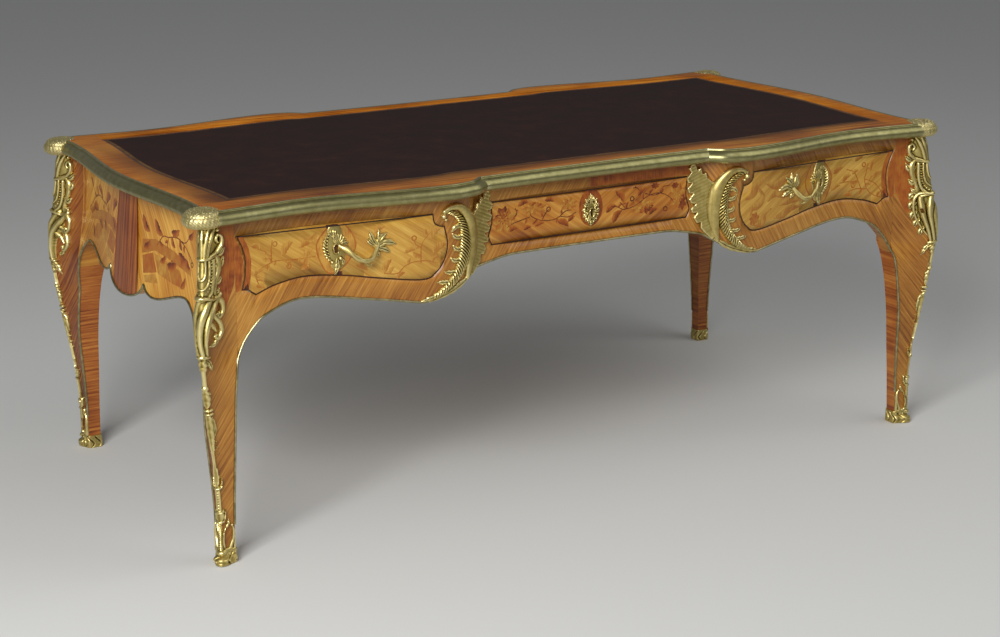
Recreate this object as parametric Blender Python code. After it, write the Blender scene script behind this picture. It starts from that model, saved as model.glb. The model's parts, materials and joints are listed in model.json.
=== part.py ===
"""Bureau plat: a serpentine writing table with frieze drawers, cabriole legs and cast mounts.

Metres, +Z up. The origin is on the floor under the middle of the table, +X runs along its length
and the drawers face -Y. A quarter or half is modelled on the +X, +Y side and then mirrored.
"""
import math

import bmesh
import bpy
from mathutils import Matrix, Vector

# Heights and drops below the writing surface
HEIGHT = 0.785
TOP_THICKNESS = 0.033
APRON_CENTRE_DROP = 0.191
APRON_BREAK_DROP = 0.208
APRON_TIP_DROP = 0.267
APRON_ARCH_DROP = 0.222
SPRING_DROP = 0.307
PENDANT_DROP = 0.277
CUSP_DROP = 0.233
LOBE_DROP = 0.255
END_ARCH_DROP = 0.224

# Plan of the wooden top: half depths along the front, half lengths along the ends
CENTRE_DEPTH = 0.459
BREAK_X = 0.305
BREAK_DEPTH = 0.466
RETURN_RUN = 0.036
RETURN_LAG = 0.010
SWELL_X = 0.395
SWELL_DEPTH = 0.506
DIP_X = 0.735
DIP_DEPTH = 0.462
CUT_X = 0.912
CUT_DEPTH = 0.477
END_MID = 0.966
END_DIP_Y = 0.385
END_DIP = 0.9395
CUT_Y = 0.440
END_CUT = 0.9425

# Leather and its borders of wood
LEATHER_DEEP = 0.0022
BORDER_CENTRE = 0.060
BORDER_SWELL = 0.095
BORDER_SIDE = 0.074
BORDER_END = 0.072

# Brass edge and corner shells
EDGE_REACH = 0.025
SHELL_RADIUS = 0.047
SHELL_OUT = 0.014
SHELL_RISE = 0.010
SHELL_LOBES = 8

# Frieze: set back from the top's edge, thinnest in the middle, with a flat inner plane
FRIEZE_SET = 0.018
FRIEZE_THICKNESS = 0.023
FRIEZE_LEAN = 0.43  # part of the swell that is lost at the level of the tips
APRON_TIP_X = 0.4445
APRON_ARCH_X = 0.73
JOINT_X = 0.882
JOINT_Y = 0.393
END_SWELL = 0.028
END_THICKNESS = 0.024
CUSP_Y = 0.108
LOBE_Y = 0.158
END_ARCH_Y = 0.31

# Legs: the arris stands in from the cut corner, plus the bow at each height
LEG_SET_X = 0.0025
LEG_SET_Y = 0.021
LEG_FOOT = 0.006
ANKLE = 0.10
KNEE_DROP = 0.295
SABOT_WALL = 0.0035
SABOT_TOE = 0.020

# Drawers
DRAWER_TOP_DROP = 0.065
DRAWER_GAP = 0.0012
CENTRE_HALF = 0.266
CENTRE_BOTTOM_DROP = 0.166
SIDE_INNER = 0.390
SIDE_OUTER = 0.8775
SIDE_WAIST = 0.019
BOX_WALL = 0.011
BOX_TOP_DROP = 0.079
SIDE_FLOOR_DROP = 0.167
CENTRE_FLOOR_DROP = 0.157
BOX_LENGTH = 0.62
BOTTOM_THICKNESS = 0.006
BOX_INSET = 0.016
BOX_SIDE_ROOM = 0.007
NOTCH_X = 0.427
SHAM_DEEP = 0.003

# Partitions and runners
PARTITION_INNER = 0.318
PARTITION_THICKNESS = 0.020
RUNNER_HEIGHT = 0.019
RUNNER_LAP = 0.013

# Locks, keyholes and pulls
LOCK_WIDTH = 0.056
LOCK_HEIGHT = 0.070
LOCK_DEEP = 0.012
BOLT_WIDTH = 0.020
BOLT_THICK = 0.007
BOLT_THROW = 0.0075
KEY_RADIUS = 0.0032
KEY_SLOT = 0.0040
KEY_LENGTH = 0.011
PULL_X = 0.648
KEYHOLE_DROP = 0.116
PLATE_WIDTH = 0.057
PLATE_HEIGHT = 0.092
PLATE_THICK = 0.005
OVAL_WIDTH = 0.050
OVAL_HEIGHT = 0.076
HANDLE_REACH = 0.092
HANDLE_STAND = 0.024
HANDLE_DROP = 0.038
HANDLE_RADIUS = 0.0045
SPRAY_RADIUS = 0.034
SPRAY_SHIFT = 0.009
SEAT_DEEP = 0.06

# Clearances
GAP = 0.0003
SEAT = 0.0004
RUN = 0.0005

# Places and heights that follow from the above
INNER_DEPTH = CENTRE_DEPTH - FRIEZE_SET - FRIEZE_THICKNESS
LEG_X = END_CUT - LEG_SET_X
LEG_Y = CUT_DEPTH - LEG_SET_Y
FRIEZE_TOP = HEIGHT - TOP_THICKNESS - GAP
SPRING_Z = HEIGHT - SPRING_DROP
FACE_FOOT = SPRING_Z - BOX_WALL
KNEE_Z = HEIGHT - KNEE_DROP
DRAWER_TOP = HEIGHT - DRAWER_TOP_DROP
SIDE_FLOOR = HEIGHT - SIDE_FLOOR_DROP
CENTRE_FLOOR = HEIGHT - CENTRE_FLOOR_DROP
BOX_TOP = HEIGHT - BOX_TOP_DROP
KEYHOLE_Z = HEIGHT - KEYHOLE_DROP

SIDES = (("left", -1), ("right", 1))
CORNERS = (("front_left", -1, -1), ("front_right", 1, -1), ("back_left", -1, 1), ("back_right", 1, 1))
DRAWERS = (("left", -1), ("centre", 0), ("right", 1))


for old in list(bpy.data.objects):
    bpy.data.objects.remove(old, do_unlink=True)


def finish(name, colour, roughness, metallic):
    """Make a plain Principled material."""
    material = bpy.data.materials.new(name)
    material.use_nodes = True
    shader = material.node_tree.nodes["Principled BSDF"]
    shader.inputs["Base Color"].default_value = (*colour, 1.0)
    shader.inputs["Roughness"].default_value = roughness
    shader.inputs["Metallic"].default_value = metallic
    return material


TULIPWOOD = finish("tulipwood_veneer", (0.45, 0.22, 0.07), 0.35, 0.0)
MARQUETRY = finish("marquetry", (0.56, 0.35, 0.12), 0.35, 0.0)
OAK = finish("oak", (0.36, 0.24, 0.12), 0.6, 0.0)
LEATHER = finish("dark_leather", (0.025, 0.014, 0.012), 0.45, 0.0)
BRASS = finish("gilt_brass", (0.46, 0.38, 0.14), 0.3, 1.0)
STEEL = finish("lock_steel", (0.35, 0.34, 0.32), 0.4, 1.0)


# Curves and outlines

def smooth(knots):
    """Curve through (position, value) knots that never overshoots between them."""
    steps = [(b[1] - a[1]) / (b[0] - a[0]) for a, b in zip(knots, knots[1:])]
    slopes = [steps[0]]
    for before, after in zip(steps, steps[1:]):
        slopes.append(2 * before * after / (before + after) if before * after > 0 else 0.0)
    slopes.append(steps[-1])

    def value(position):
        position = min(max(position, knots[0][0]), knots[-1][0])
        i = 0
        while i < len(steps) - 1 and position > knots[i + 1][0]:
            i += 1
        span = knots[i + 1][0] - knots[i][0]
        t = (position - knots[i][0]) / span
        start = knots[i][1] * (1 + 2 * t) * (1 - t) ** 2 + slopes[i] * span * t * (1 - t) ** 2
        end = knots[i + 1][1] * t * t * (3 - 2 * t) + slopes[i + 1] * span * t * t * (t - 1)
        return start + end

    return value


def spline(points, per_span):
    """Catmull-Rom points through the given ones, without the last."""
    vectors = [Vector(p) for p in points]
    vectors = [2 * vectors[0] - vectors[1]] + vectors + [2 * vectors[-1] - vectors[-2]]
    run = []
    for a, b, c, d in zip(vectors, vectors[1:], vectors[2:], vectors[3:]):
        for k in range(per_span):
            t = k / per_span
            run.append(0.5 * (2 * b + (c - a) * t + (2 * a - 5 * b + 4 * c - d) * t ** 2
                              + (3 * b - a - 3 * c + d) * t ** 3))
    return run


def grown(outline, distance):
    """Closed outline moved outwards by a distance; a negative distance moves it in."""
    points = [Vector(p[:2]) for p in outline]
    turn = sum(a.x * b.y - b.x * a.y for a, b in zip(points, points[1:] + points[:1]))
    side = 1.0 if turn > 0 else -1.0
    moved = []
    for i, point in enumerate(points):
        before = (point - points[i - 1]).normalized()
        after = (points[(i + 1) % len(points)] - point).normalized()
        out_before = Vector((before.y, -before.x)) * side
        out_after = Vector((after.y, -after.x)) * side
        mitre = out_before + out_after
        moved.append(point + mitre * (distance / max(0.35, 0.5 * mitre.length_squared)))
    return moved


plan_side = smooth([
    (BREAK_X, BREAK_DEPTH), (BREAK_X + RETURN_RUN, SWELL_DEPTH - RETURN_LAG), (SWELL_X, SWELL_DEPTH),
    (DIP_X, DIP_DEPTH), (CUT_X, CUT_DEPTH)])
plan_half_end = smooth([(-END_DIP_Y, END_DIP), (0.0, END_MID), (END_DIP_Y, END_DIP), (CUT_Y, END_CUT)])


def plan(x):
    """Half depth of the wooden top at a place along its length."""
    x = abs(x)
    if x <= BREAK_X:
        return CENTRE_DEPTH + (BREAK_DEPTH - CENTRE_DEPTH) * (x / BREAK_X) ** 2
    return plan_side(x)


def plan_end(y):
    """Half length of the wooden top at a place along its depth."""
    return plan_half_end(abs(y))


def face(x, z):
    """Half depth of the frieze's outer face, whose swell dies away downwards."""
    drop = (FRIEZE_TOP - z) / (APRON_TIP_DROP - TOP_THICKNESS)
    return DIP_DEPTH - FRIEZE_SET + (plan(x) - DIP_DEPTH) * (1 - FRIEZE_LEAN * drop)


def end_face(y, z):
    """Half length of the end apron's outer face, which swells towards its lower edge."""
    share = min(1.0, max(0.0, (FRIEZE_TOP - z) / (PENDANT_DROP - TOP_THICKNESS)))
    return plan_end(y) - FRIEZE_SET + END_SWELL * share ** 2


def side_stations(last, count=11, extra=()):
    """Places along a side section, closer together at the break."""
    run = [BREAK_X + (last - BREAK_X) * (k / count) ** 1.5 for k in range(count + 1)]
    return sorted(run + list(extra))


def mirrored_run(values):
    """The same run on both sides of zero, in rising order."""
    return [-v for v in reversed(values)] + [v for v in values if v > 0]


apron_centre = smooth([(-0.2, APRON_CENTRE_DROP), (0.2, APRON_CENTRE_DROP), (BREAK_X, APRON_BREAK_DROP)])
apron_inner = smooth([
    (BREAK_X, APRON_BREAK_DROP), (BREAK_X + 0.04, APRON_BREAK_DROP + 0.024), (APRON_TIP_X, APRON_TIP_DROP)])
apron_outer = smooth([
    (APRON_TIP_X, APRON_TIP_DROP), (APRON_TIP_X + 0.12, 0.5 * (APRON_TIP_DROP + APRON_ARCH_DROP)),
    (APRON_ARCH_X, APRON_ARCH_DROP), (JOINT_X - 0.063, APRON_ARCH_DROP + 0.0225),
    (JOINT_X - 0.028, APRON_ARCH_DROP + 0.052), (JOINT_X, SPRING_DROP)])
end_outer = smooth([
    (CUSP_Y, CUSP_DROP), (CUSP_Y + 0.02, LOBE_DROP - 0.006), (LOBE_Y, LOBE_DROP),
    (END_ARCH_Y, END_ARCH_DROP), (JOINT_Y - 0.03, END_ARCH_DROP + 0.026), (JOINT_Y, SPRING_DROP)])


def apron(x):
    """Height of the frieze's lower edge."""
    x = abs(x)
    if x <= BREAK_X:
        return HEIGHT - apron_centre(x)
    if x <= APRON_TIP_X:
        return HEIGHT - apron_inner(x)
    return HEIGHT - apron_outer(x)


def end_apron_edge(y):
    """Height of the end apron's lower edge: a round pendant between two cusps, then a lobe and an arch."""
    y = abs(y)
    if y <= CUSP_Y:
        round_part = math.sqrt(max(0.0, 1 - (y / CUSP_Y) ** 2))
        return HEIGHT - CUSP_DROP - (PENDANT_DROP - CUSP_DROP) * round_part
    return HEIGHT - end_outer(y)


# Solids

def solid(name, points, faces, material):
    """One closed body from points and faces."""
    mesh = bpy.data.meshes.new(name)
    shape = bmesh.new()
    corners = [shape.verts.new(p) for p in points]
    for corner_ids in faces:
        shape.faces.new([corners[i] for i in corner_ids])
    bmesh.ops.recalc_face_normals(shape, faces=shape.faces)
    shape.to_mesh(mesh)
    shape.free()
    mesh.materials.append(material)
    mesh.shade_smooth()
    mesh.set_sharp_from_angle(angle=math.radians(35))
    made = bpy.data.objects.new(name, mesh)
    bpy.context.scene.collection.objects.link(made)
    return made


def loft(name, rings, material, closed=False, twisted=False):
    """Body skinned over rings of equal count, capped at both ends or closed into a loop.

    A twisted skin is split into triangles, along diagonals that mirror each other across the table's middle.
    """
    count = len(rings[0])
    points = [p for ring in rings for p in ring]
    faces = []
    last = len(rings) if closed else len(rings) - 1
    for i in range(last):
        low = i * count
        high = ((i + 1) % len(rings)) * count
        left_side = points[low][0] + points[high][0] < 0
        for k in range(count):
            n = (k + 1) % count
            if twisted and left_side:
                faces.append((low + k, low + n, high + k))
                faces.append((low + n, high + n, high + k))
            elif twisted:
                faces.append((low + k, low + n, high + n))
                faces.append((low + k, high + n, high + k))
            else:
                faces.append((low + k, low + n, high + n, high + k))
    if not closed:
        faces.append(tuple(range(count)))
        faces.append(tuple(range(len(points) - count, len(points))))
    return solid(name, points, faces, material)


def upright(name, outline, low, high, material):
    """Outline in plan, raised from one height to another."""
    return loft(name, [[(p[0], p[1], z) for p in outline] for z in (low, high)], material)


def through(name, outline, near, far, material):
    """Outline in elevation, carried along Y."""
    return loft(name, [[(p[0], y, p[1]) for p in outline] for y in (near, far)], material)


def box(name, low, high, material):
    """Plain rectangular body."""
    outline = ((low[0], low[1]), (high[0], low[1]), (high[0], high[1]), (low[0], high[1]))
    return upright(name, outline, low[2], high[2], material)


def tube(name, points, radii, material, per_span=3, sides=8):
    """Tapered round bar along a smooth path."""
    path = spline([(*p, r) for p, r in zip(points, radii)], per_span)
    path.append(Vector((*points[-1], radii[-1])))
    rings = []
    for i, place in enumerate(path):
        after = path[min(i + 1, len(path) - 1)].to_3d()
        before = path[max(i - 1, 0)].to_3d()
        along = (after - before).normalized()
        across = along.cross(Vector((0.0, 1.0, 0.0))).normalized()
        lift = across.cross(along)
        ring = []
        for k in range(sides):
            angle = 2 * math.pi * k / sides
            ring.append(place.to_3d() + place.w * (across * math.cos(angle) + lift * math.sin(angle)))
        rings.append(ring)
    return loft(name, rings, material)


def carve(target, tool, operation="DIFFERENCE"):
    """Boolean two bodies and drop the second."""
    modifier = target.modifiers.new("carve", "BOOLEAN")
    modifier.operation = operation
    modifier.solver = "EXACT"
    modifier.object = tool
    ready = target.evaluated_get(bpy.context.evaluated_depsgraph_get())
    mesh = bpy.data.meshes.new_from_object(ready)
    target.modifiers.clear()
    target.data = mesh
    bpy.data.objects.remove(tool, do_unlink=True)
    return target


def mirrored(source, name, x_sign, y_sign):
    """Copy of a body on another side of the table."""
    copy = bpy.data.objects.new(name, source.data.copy())
    copy.data.name = name
    copy.data.transform(Matrix.Diagonal((x_sign, y_sign, 1.0, 1.0)))
    if x_sign * y_sign < 0:
        copy.data.flip_normals()
    bpy.context.scene.collection.objects.link(copy)
    return copy


def at_corners(stem, source):
    """Four mirrored copies of a corner piece in place of the source."""
    for corner, x_sign, y_sign in CORNERS:
        mirrored(source, f"{stem}_{corner}", x_sign, y_sign)
    bpy.data.objects.remove(source, do_unlink=True)


# Top panel and leather

def top_outline():
    """Edge of the wooden top, with its corners cut for the shells."""
    along = mirrored_run([BREAK_X * k / 3 for k in range(3)] + side_stations(CUT_X))
    across = [CUT_Y * k / 9 for k in range(-9, 10)]
    front = [(x, -plan(x)) for x in along]
    right = [(plan_end(y), y) for y in across]
    back = [(x, plan(x)) for x in reversed(along)]
    left = [(-plan_end(y), y) for y in reversed(across)]
    return front + right + back + left


leather_front = smooth([
    (0.0, CENTRE_DEPTH - BORDER_CENTRE), (BREAK_X + 0.03, BREAK_DEPTH - BORDER_CENTRE - 0.005),
    (SWELL_X - 0.015, SWELL_DEPTH - BORDER_SWELL), (DIP_X - 0.015, DIP_DEPTH - BORDER_SIDE),
    (CUT_X, CUT_DEPTH - BORDER_SIDE - 0.006)])


def leather_outline():
    """Edge of the leather: it follows the top with softer breaks."""
    corner_x = END_DIP - BORDER_END
    corner_y = leather_front(corner_x)
    along = mirrored_run([BREAK_X * k / 2 for k in range(2)] + side_stations(corner_x, 9))
    across = [corner_y * k / 7 for k in range(-6, 7)]
    front = [(x, -leather_front(abs(x))) for x in along]
    right = [(plan_end(y) - BORDER_END, y) for y in across]
    back = [(-x, -y) for x, y in front]
    left = [(-x, -y) for x, y in right]
    return front + right + back + left


top_panel = upright("top_panel", top_outline(), HEIGHT - TOP_THICKNESS, HEIGHT, TULIPWOOD)
carve(top_panel, upright("pocket", leather_outline(), HEIGHT - LEATHER_DEEP, HEIGHT + 0.01, TULIPWOOD))
upright("leather_panel", grown(leather_outline(), -GAP), HEIGHT - LEATHER_DEEP + GAP, HEIGHT, LEATHER)


# Brass edge: narrow fillets over a bold round, in eight lengths

EDGE_PROFILE = (
    (SEAT, 0.0), (0.24 * EDGE_REACH, 0.0004), (0.36 * EDGE_REACH, -0.0045), (0.48 * EDGE_REACH, -0.0052),
    (0.78 * EDGE_REACH, -0.0095), (EDGE_REACH, -0.0185), (0.86 * EDGE_REACH, -0.0270),
    (0.48 * EDGE_REACH, -TOP_THICKNESS), (SEAT, -TOP_THICKNESS))


def edge_length(name, path, start_out=None):
    """Sweep the profile along a run of the top's edge; the first end can be mitred."""
    points = [Vector(p) for p in path]
    rings = []
    for i, point in enumerate(points):
        along = (points[min(i + 1, len(points) - 1)] - points[max(i - 1, 0)]).normalized()
        out = Vector((-along.y, along.x))
        if i == 0 and start_out:
            out = Vector(start_out)
        rings.append([(point.x + out.x * d, point.y + out.y * d, HEIGHT + z) for d, z in EDGE_PROFILE])
    return loft(name, rings, BRASS)


def break_mitre():
    """Direction of the mitre at the break, lengthened so that both lengths keep their profile."""
    step = 0.002
    side_run = Vector((step, plan_side(BREAK_X + step) - BREAK_DEPTH)).normalized()
    middle_run = Vector((step, BREAK_DEPTH - plan(BREAK_X - step))).normalized()
    mitre = Vector((-side_run.y, side_run.x)) + Vector((-middle_run.y, middle_run.x))
    return mitre * (2 / mitre.length_squared)


def shell_centre():
    """Middle of a corner shell, out from the middle of the cut corner."""
    middle = Vector((0.5 * (CUT_X + END_CUT), 0.5 * (CUT_DEPTH + CUT_Y)))
    across = Vector((END_CUT - CUT_X, CUT_Y - CUT_DEPTH)).normalized()
    return middle + SHELL_OUT * Vector((-across.y, across.x))


def shell_room():
    """Round cutter that makes room for a shell."""
    centre = shell_centre()
    ring = []
    for k in range(36):
        angle = 2 * math.pi * k / 36
        reach = (SHELL_RADIUS + 2 * GAP) / math.cos(math.pi / 36)
        ring.append((centre.x + reach * math.cos(angle), centre.y + reach * math.sin(angle)))
    return upright("shell_room", ring, HEIGHT - 2 * TOP_THICKNESS, HEIGHT + TOP_THICKNESS, BRASS)


mitre = break_mitre()
side_path = [(x, plan(x)) for x in [BREAK_X + GAP] + side_stations(CUT_X)[1:]]
side_edge = edge_length("side_edge", side_path, mitre)
carve(side_edge, shell_room())
at_corners("edge", side_edge)

middle_rings = []
for k in range(-3, 4):
    x = (BREAK_X - GAP) * k / 3
    lean = mitre.x * (k // 3 if k > 0 else -(-k // 3))
    rise = mitre.y if abs(k) == 3 else 1.0
    middle_rings.append([(x + lean * d, plan(x) + rise * d, HEIGHT + z) for d, z in EDGE_PROFILE])
edge_back_centre = loft("edge_back_centre", middle_rings, BRASS)
mirrored(edge_back_centre, "edge_front_centre", 1, -1)

end_path = [(plan_end(y), y) for y in [CUT_Y * k / 9 for k in range(9, -10, -1)]]
edge_end_right = edge_length("edge_end_right", end_path)
carve(edge_end_right, shell_room())
lower_room = mirrored(edge_end_right, "flip", 1, -1)
bpy.data.objects.remove(edge_end_right, do_unlink=True)
carve(lower_room, shell_room())
lower_room.name = "edge_end_right"
mirrored(lower_room, "edge_end_left", -1, 1)


# Corner shells: lobed domes that clasp the cut corners

def corner_shell():
    """Shell with a scalloped rim, cut to sit over the top's corner."""
    centre = shell_centre()
    levels = (
        (0.80, -TOP_THICKNESS + GAP), (1.0, -0.024), (1.0, -0.009), (0.84, 0.0015),
        (0.52, 0.8 * SHELL_RISE), (0.16, SHELL_RISE))
    count = 3 * SHELL_LOBES
    rings = []
    for share, z in levels:
        ring = []
        for k in range(count):
            angle = 2 * math.pi * k / count
            scallop = 1 - 0.07 * share * (k % 3 == 0)
            reach = SHELL_RADIUS * share * scallop
            ring.append((centre.x + reach * math.cos(angle), centre.y + reach * math.sin(angle), HEIGHT + z))
        rings.append(ring)
    shell = loft("corner_shell", rings, BRASS)
    block = upright("block", grown(top_outline(), GAP), HEIGHT - 2 * TOP_THICKNESS, HEIGHT + GAP, BRASS)
    return carve(shell, block)


at_corners("corner_shell", corner_shell())


# Legs, with the chutes on their arrises and the sabots on their feet

leg_bow = smooth([
    (0.0, 0.005), (ANKLE, 0.004), (0.20, 0.009), (0.30, 0.0215), (0.40, 0.033), (KNEE_Z, 0.0395),
    (KNEE_Z + 0.07, 0.035), (FRIEZE_TOP, 0.012)])
FREE_WIDTH = [(0.0, 0.033), (ANKLE, 0.0345), (0.20, 0.043), (0.30, 0.059), (0.38, 0.0745), (0.43, 0.0855)]
FREE_DISH = [(0.0, 0.003), (ANKLE, 0.003), (0.20, 0.004), (0.30, 0.0105), (0.38, 0.0225), (0.43, 0.030)]
spring_bow = leg_bow(SPRING_Z)
front_width = smooth(FREE_WIDTH + [(SPRING_Z, LEG_X + spring_bow - JOINT_X)])
end_width = smooth(FREE_WIDTH + [(SPRING_Z, LEG_Y + spring_bow - JOINT_Y)])
front_dish = smooth(FREE_DISH + [(SPRING_Z, LEG_Y + spring_bow - face(JOINT_X, SPRING_Z))])
end_dish = smooth(FREE_DISH + [(SPRING_Z, LEG_X + spring_bow - end_face(JOINT_Y, SPRING_Z))])
LEG_LEVELS = sorted(
    [LEG_FOOT, 0.05, ANKLE, 0.15, 0.20, 0.25, 0.30, 0.34, 0.38, 0.41, 0.445]
    + [SPRING_Z + (FRIEZE_TOP - SPRING_Z) * k / 6 for k in range(7)])


def leg_section(z):
    """Corners of the leg in plan: arris, front dish, front inner edge, inner corner, end inner edge, end dish."""
    bow = leg_bow(z)
    ax = LEG_X + bow
    ay = LEG_Y + bow
    if z >= SPRING_Z - 1e-6:
        fx, fy = JOINT_X + GAP, face(JOINT_X, z)
        ex, ey = end_face(JOINT_Y, z), JOINT_Y + GAP
    else:
        fx, fy = ax - front_width(z), ay - front_dish(z)
        ex, ey = ax - end_dish(z), ay - end_width(z)
    front_mid = (0.5 * (ax + fx), ay - 0.6 * (ay - fy))
    end_mid = (ax - 0.6 * (ax - ex), 0.5 * (ay + ey))
    return [Vector(p) for p in ((ax, ay), front_mid, (fx, fy), (fx, ey), (ex, ey), end_mid)]


def leg_between(z):
    """Section of the faceted leg at any height."""
    z = min(max(z, LEG_LEVELS[0]), LEG_LEVELS[-1])
    i = 0
    while i < len(LEG_LEVELS) - 2 and z > LEG_LEVELS[i + 1]:
        i += 1
    t = (z - LEG_LEVELS[i]) / (LEG_LEVELS[i + 1] - LEG_LEVELS[i])
    return [a.lerp(b, t) for a, b in zip(leg_section(LEG_LEVELS[i]), leg_section(LEG_LEVELS[i + 1]))]


def leg_body(name, growth, material):
    """The leg, or the room that it takes up in a mount."""
    rings = [[(p.x, p.y, z) for p in grown(leg_section(z), growth)] for z in LEG_LEVELS]
    return loft(name, rings, material, twisted=True)


at_corners("leg", leg_body("leg", 0.0, TULIPWOOD))

# Drop below the top, half width on each face and relief: capital, cartouche, knee scroll, collar
CHUTE_FORM = (
    (0.0345, 0.030, 0.010), (0.046, 0.033, 0.012), (0.057, 0.024, 0.007), (0.067, 0.029, 0.010),
    (0.078, 0.022, 0.006), (0.092, 0.029, 0.009), (0.125, 0.031, 0.011), (0.155, 0.028, 0.010),
    (0.172, 0.021, 0.007), (0.186, 0.031, 0.011), (0.212, 0.044, 0.015), (0.240, 0.042, 0.016),
    (0.266, 0.033, 0.014), (0.288, 0.022, 0.010), (0.302, 0.014, 0.006), (0.312, 0.020, 0.008))
TRAIL_LEAVES = 5
TRAIL_WIDE = (0.0125, 0.0050)
TRAIL_THIN = (0.0075, 0.0032)
SABOT_RIM = (0.104, 0.080, 0.094, 0.072, 0.094, 0.080)


def chute_levels():
    """Height, half width and relief from the capital down to the last leaf above the sabot."""
    levels = [(HEIGHT - drop, wide, thick) for drop, wide, thick in CHUTE_FORM]
    start = levels[-1][0]
    end = SABOT_RIM[0] + 0.006
    for k in range(2 * TRAIL_LEAVES):
        z = start + (end - start) * (k + 1) / (2 * TRAIL_LEAVES)
        levels.append((z, *(TRAIL_WIDE if k % 2 else TRAIL_THIN)))
    return levels


def chute_ring(z, wide, thick):
    """Section of a chute: it clasps the arris and thins out over both faces."""
    arris, front_mid, _, _, _, end_mid = leg_between(z)
    lap = []
    for mid, out in ((front_mid, Vector((0.0, 1.0))), (end_mid, Vector((1.0, 0.0)))):
        along = mid - arris
        normal = Vector((along.y, -along.x)).normalized()
        normal = normal if normal.dot(out) > 0 else -normal
        lap.append((along.normalized() * wide, normal))
    edge = SEAT + 0.3 * thick
    front, end = [[arris + run - normal * 0.003, arris + run + normal * edge, arris + 0.55 * run + normal * thick]
                  for run, normal in lap]
    crest = arris + Vector((0.8, 0.8)) * thick
    inside = arris - Vector((0.006, 0.006))
    ring = [front[0], inside, end[0], end[1], end[2], crest, front[2], front[1]]
    return [(p.x, p.y, z) for p in ring]


chute = loft("chute", [chute_ring(*level) for level in chute_levels()], BRASS, twisted=True)
carve(chute, leg_body("leg_room", SEAT, BRASS))
at_corners("chute", chute)


def sabot_ring(heights, wall, toe):
    """Ring round the leg's foot, with the toe pushed out along the diagonal."""
    ring = []
    for i, z in enumerate(heights):
        point = grown(leg_between(z), wall)[i]
        reach = toe * (1.0, 0.45, 0.1, 0.0, 0.1, 0.45)[i] * math.sqrt(0.5)
        ring.append((point.x + reach, point.y + reach, z))
    return ring


def sabot():
    """Cast cup: a scrolled toe, a waist and a rim that rises at the corners, with a socket for the leg."""
    outside = ((0.0, 1.0, 0.9), (0.010, 1.9, 1.0), (0.022, 1.5, 0.72), (0.036, 1.0, 0.30), (0.055, 1.5, 0.12))
    rings = [sabot_ring([z] * 6, SABOT_WALL * wall, SABOT_TOE * toe) for z, wall, toe in outside]
    rings.append(sabot_ring(SABOT_RIM, SABOT_WALL, 0.0))
    rings.append(sabot_ring(SABOT_RIM, RUN, 0.0))
    rings.append(sabot_ring([0.05] * 6, RUN, 0.0))
    rings.append(sabot_ring([LEG_FOOT - GAP] * 6, RUN, 0.0))
    return loft("sabot", rings, BRASS)


at_corners("sabot", sabot())


# Drawer outlines in elevation

def keyhole(x):
    """Round hole over a slot."""
    ring = []
    for k in range(9):
        angle = math.radians(-60 + 300 * k / 8)
        ring.append((x + KEY_RADIUS * math.cos(angle), KEYHOLE_Z + KEY_RADIUS * math.sin(angle)))
    foot = KEYHOLE_Z - KEY_LENGTH
    return ring + [(x - 0.5 * KEY_SLOT, foot), (x + 0.5 * KEY_SLOT, foot)]


def side_drawer_outline():
    """Shaped outline of the right-hand drawer: arched below, notched where the mount's hook lies."""
    top = DRAWER_TOP
    ear = (SIDE_OUTER - 0.009, top - 0.120)
    cusp = (SIDE_OUTER - 0.043, top - 0.1355)
    outer = spline([
        (SIDE_OUTER, top), (SIDE_OUTER - 0.7 * SIDE_WAIST, top - 0.030), (SIDE_OUTER - SIDE_WAIST, top - 0.058),
        (SIDE_OUTER - 0.85 * SIDE_WAIST, top - 0.092), ear], 2)
    ogee = spline([ear, (SIDE_OUTER - 0.022, top - 0.122), cusp], 2)
    lower = spline([
        cusp, (SIDE_OUTER - 0.088, top - 0.121), (APRON_ARCH_X - 0.01, top - 0.112), (APRON_ARCH_X - 0.10, top - 0.1205),
        (APRON_TIP_X + 0.1035, top - 0.1355), (SIDE_INNER + 0.059, top - 0.150), (SIDE_INNER + 0.026, top - 0.136),
        (SIDE_INNER + 0.006, top - 0.107), (SIDE_INNER, top - 0.07), (SIDE_INNER + 0.009, top - 0.031)], 3)
    notch = spline([
        (SIDE_INNER + 0.009, top - 0.031), (NOTCH_X - 0.012, top - 0.027), (NOTCH_X - 0.003, top - 0.018),
        (NOTCH_X, top)], 2)
    return outer + ogee + lower + notch + [Vector((NOTCH_X, top))]


def centre_drawer_outline():
    """Outline of the middle drawer, with softly waved sides."""
    low = HEIGHT - CENTRE_BOTTOM_DROP
    top = DRAWER_TOP
    right = spline([
        (CENTRE_HALF - 0.003, low), (CENTRE_HALF + 0.006, low + 0.022), (CENTRE_HALF - 0.003, top - 0.045),
        (CENTRE_HALF, top)], 3) + [Vector((CENTRE_HALF, top))]
    return right + [Vector((-p.x, p.y)) for p in reversed(right)]


def drawer_outline(x_sign):
    """Outline of one of the three drawers."""
    if x_sign == 0:
        return centre_drawer_outline()
    return [Vector((p.x * x_sign, p.y)) for p in side_drawer_outline()]


# Friezes, built facing +Y

def frieze_stations():
    """Places along the frieze, with the points of its lower edge among them."""
    extra = (APRON_TIP_X, JOINT_X - 0.028, JOINT_X - 0.014)
    return mirrored_run([BREAK_X * (2 * k + 1) / 6 for k in range(3)] + side_stations(JOINT_X, 11, extra))


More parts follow.
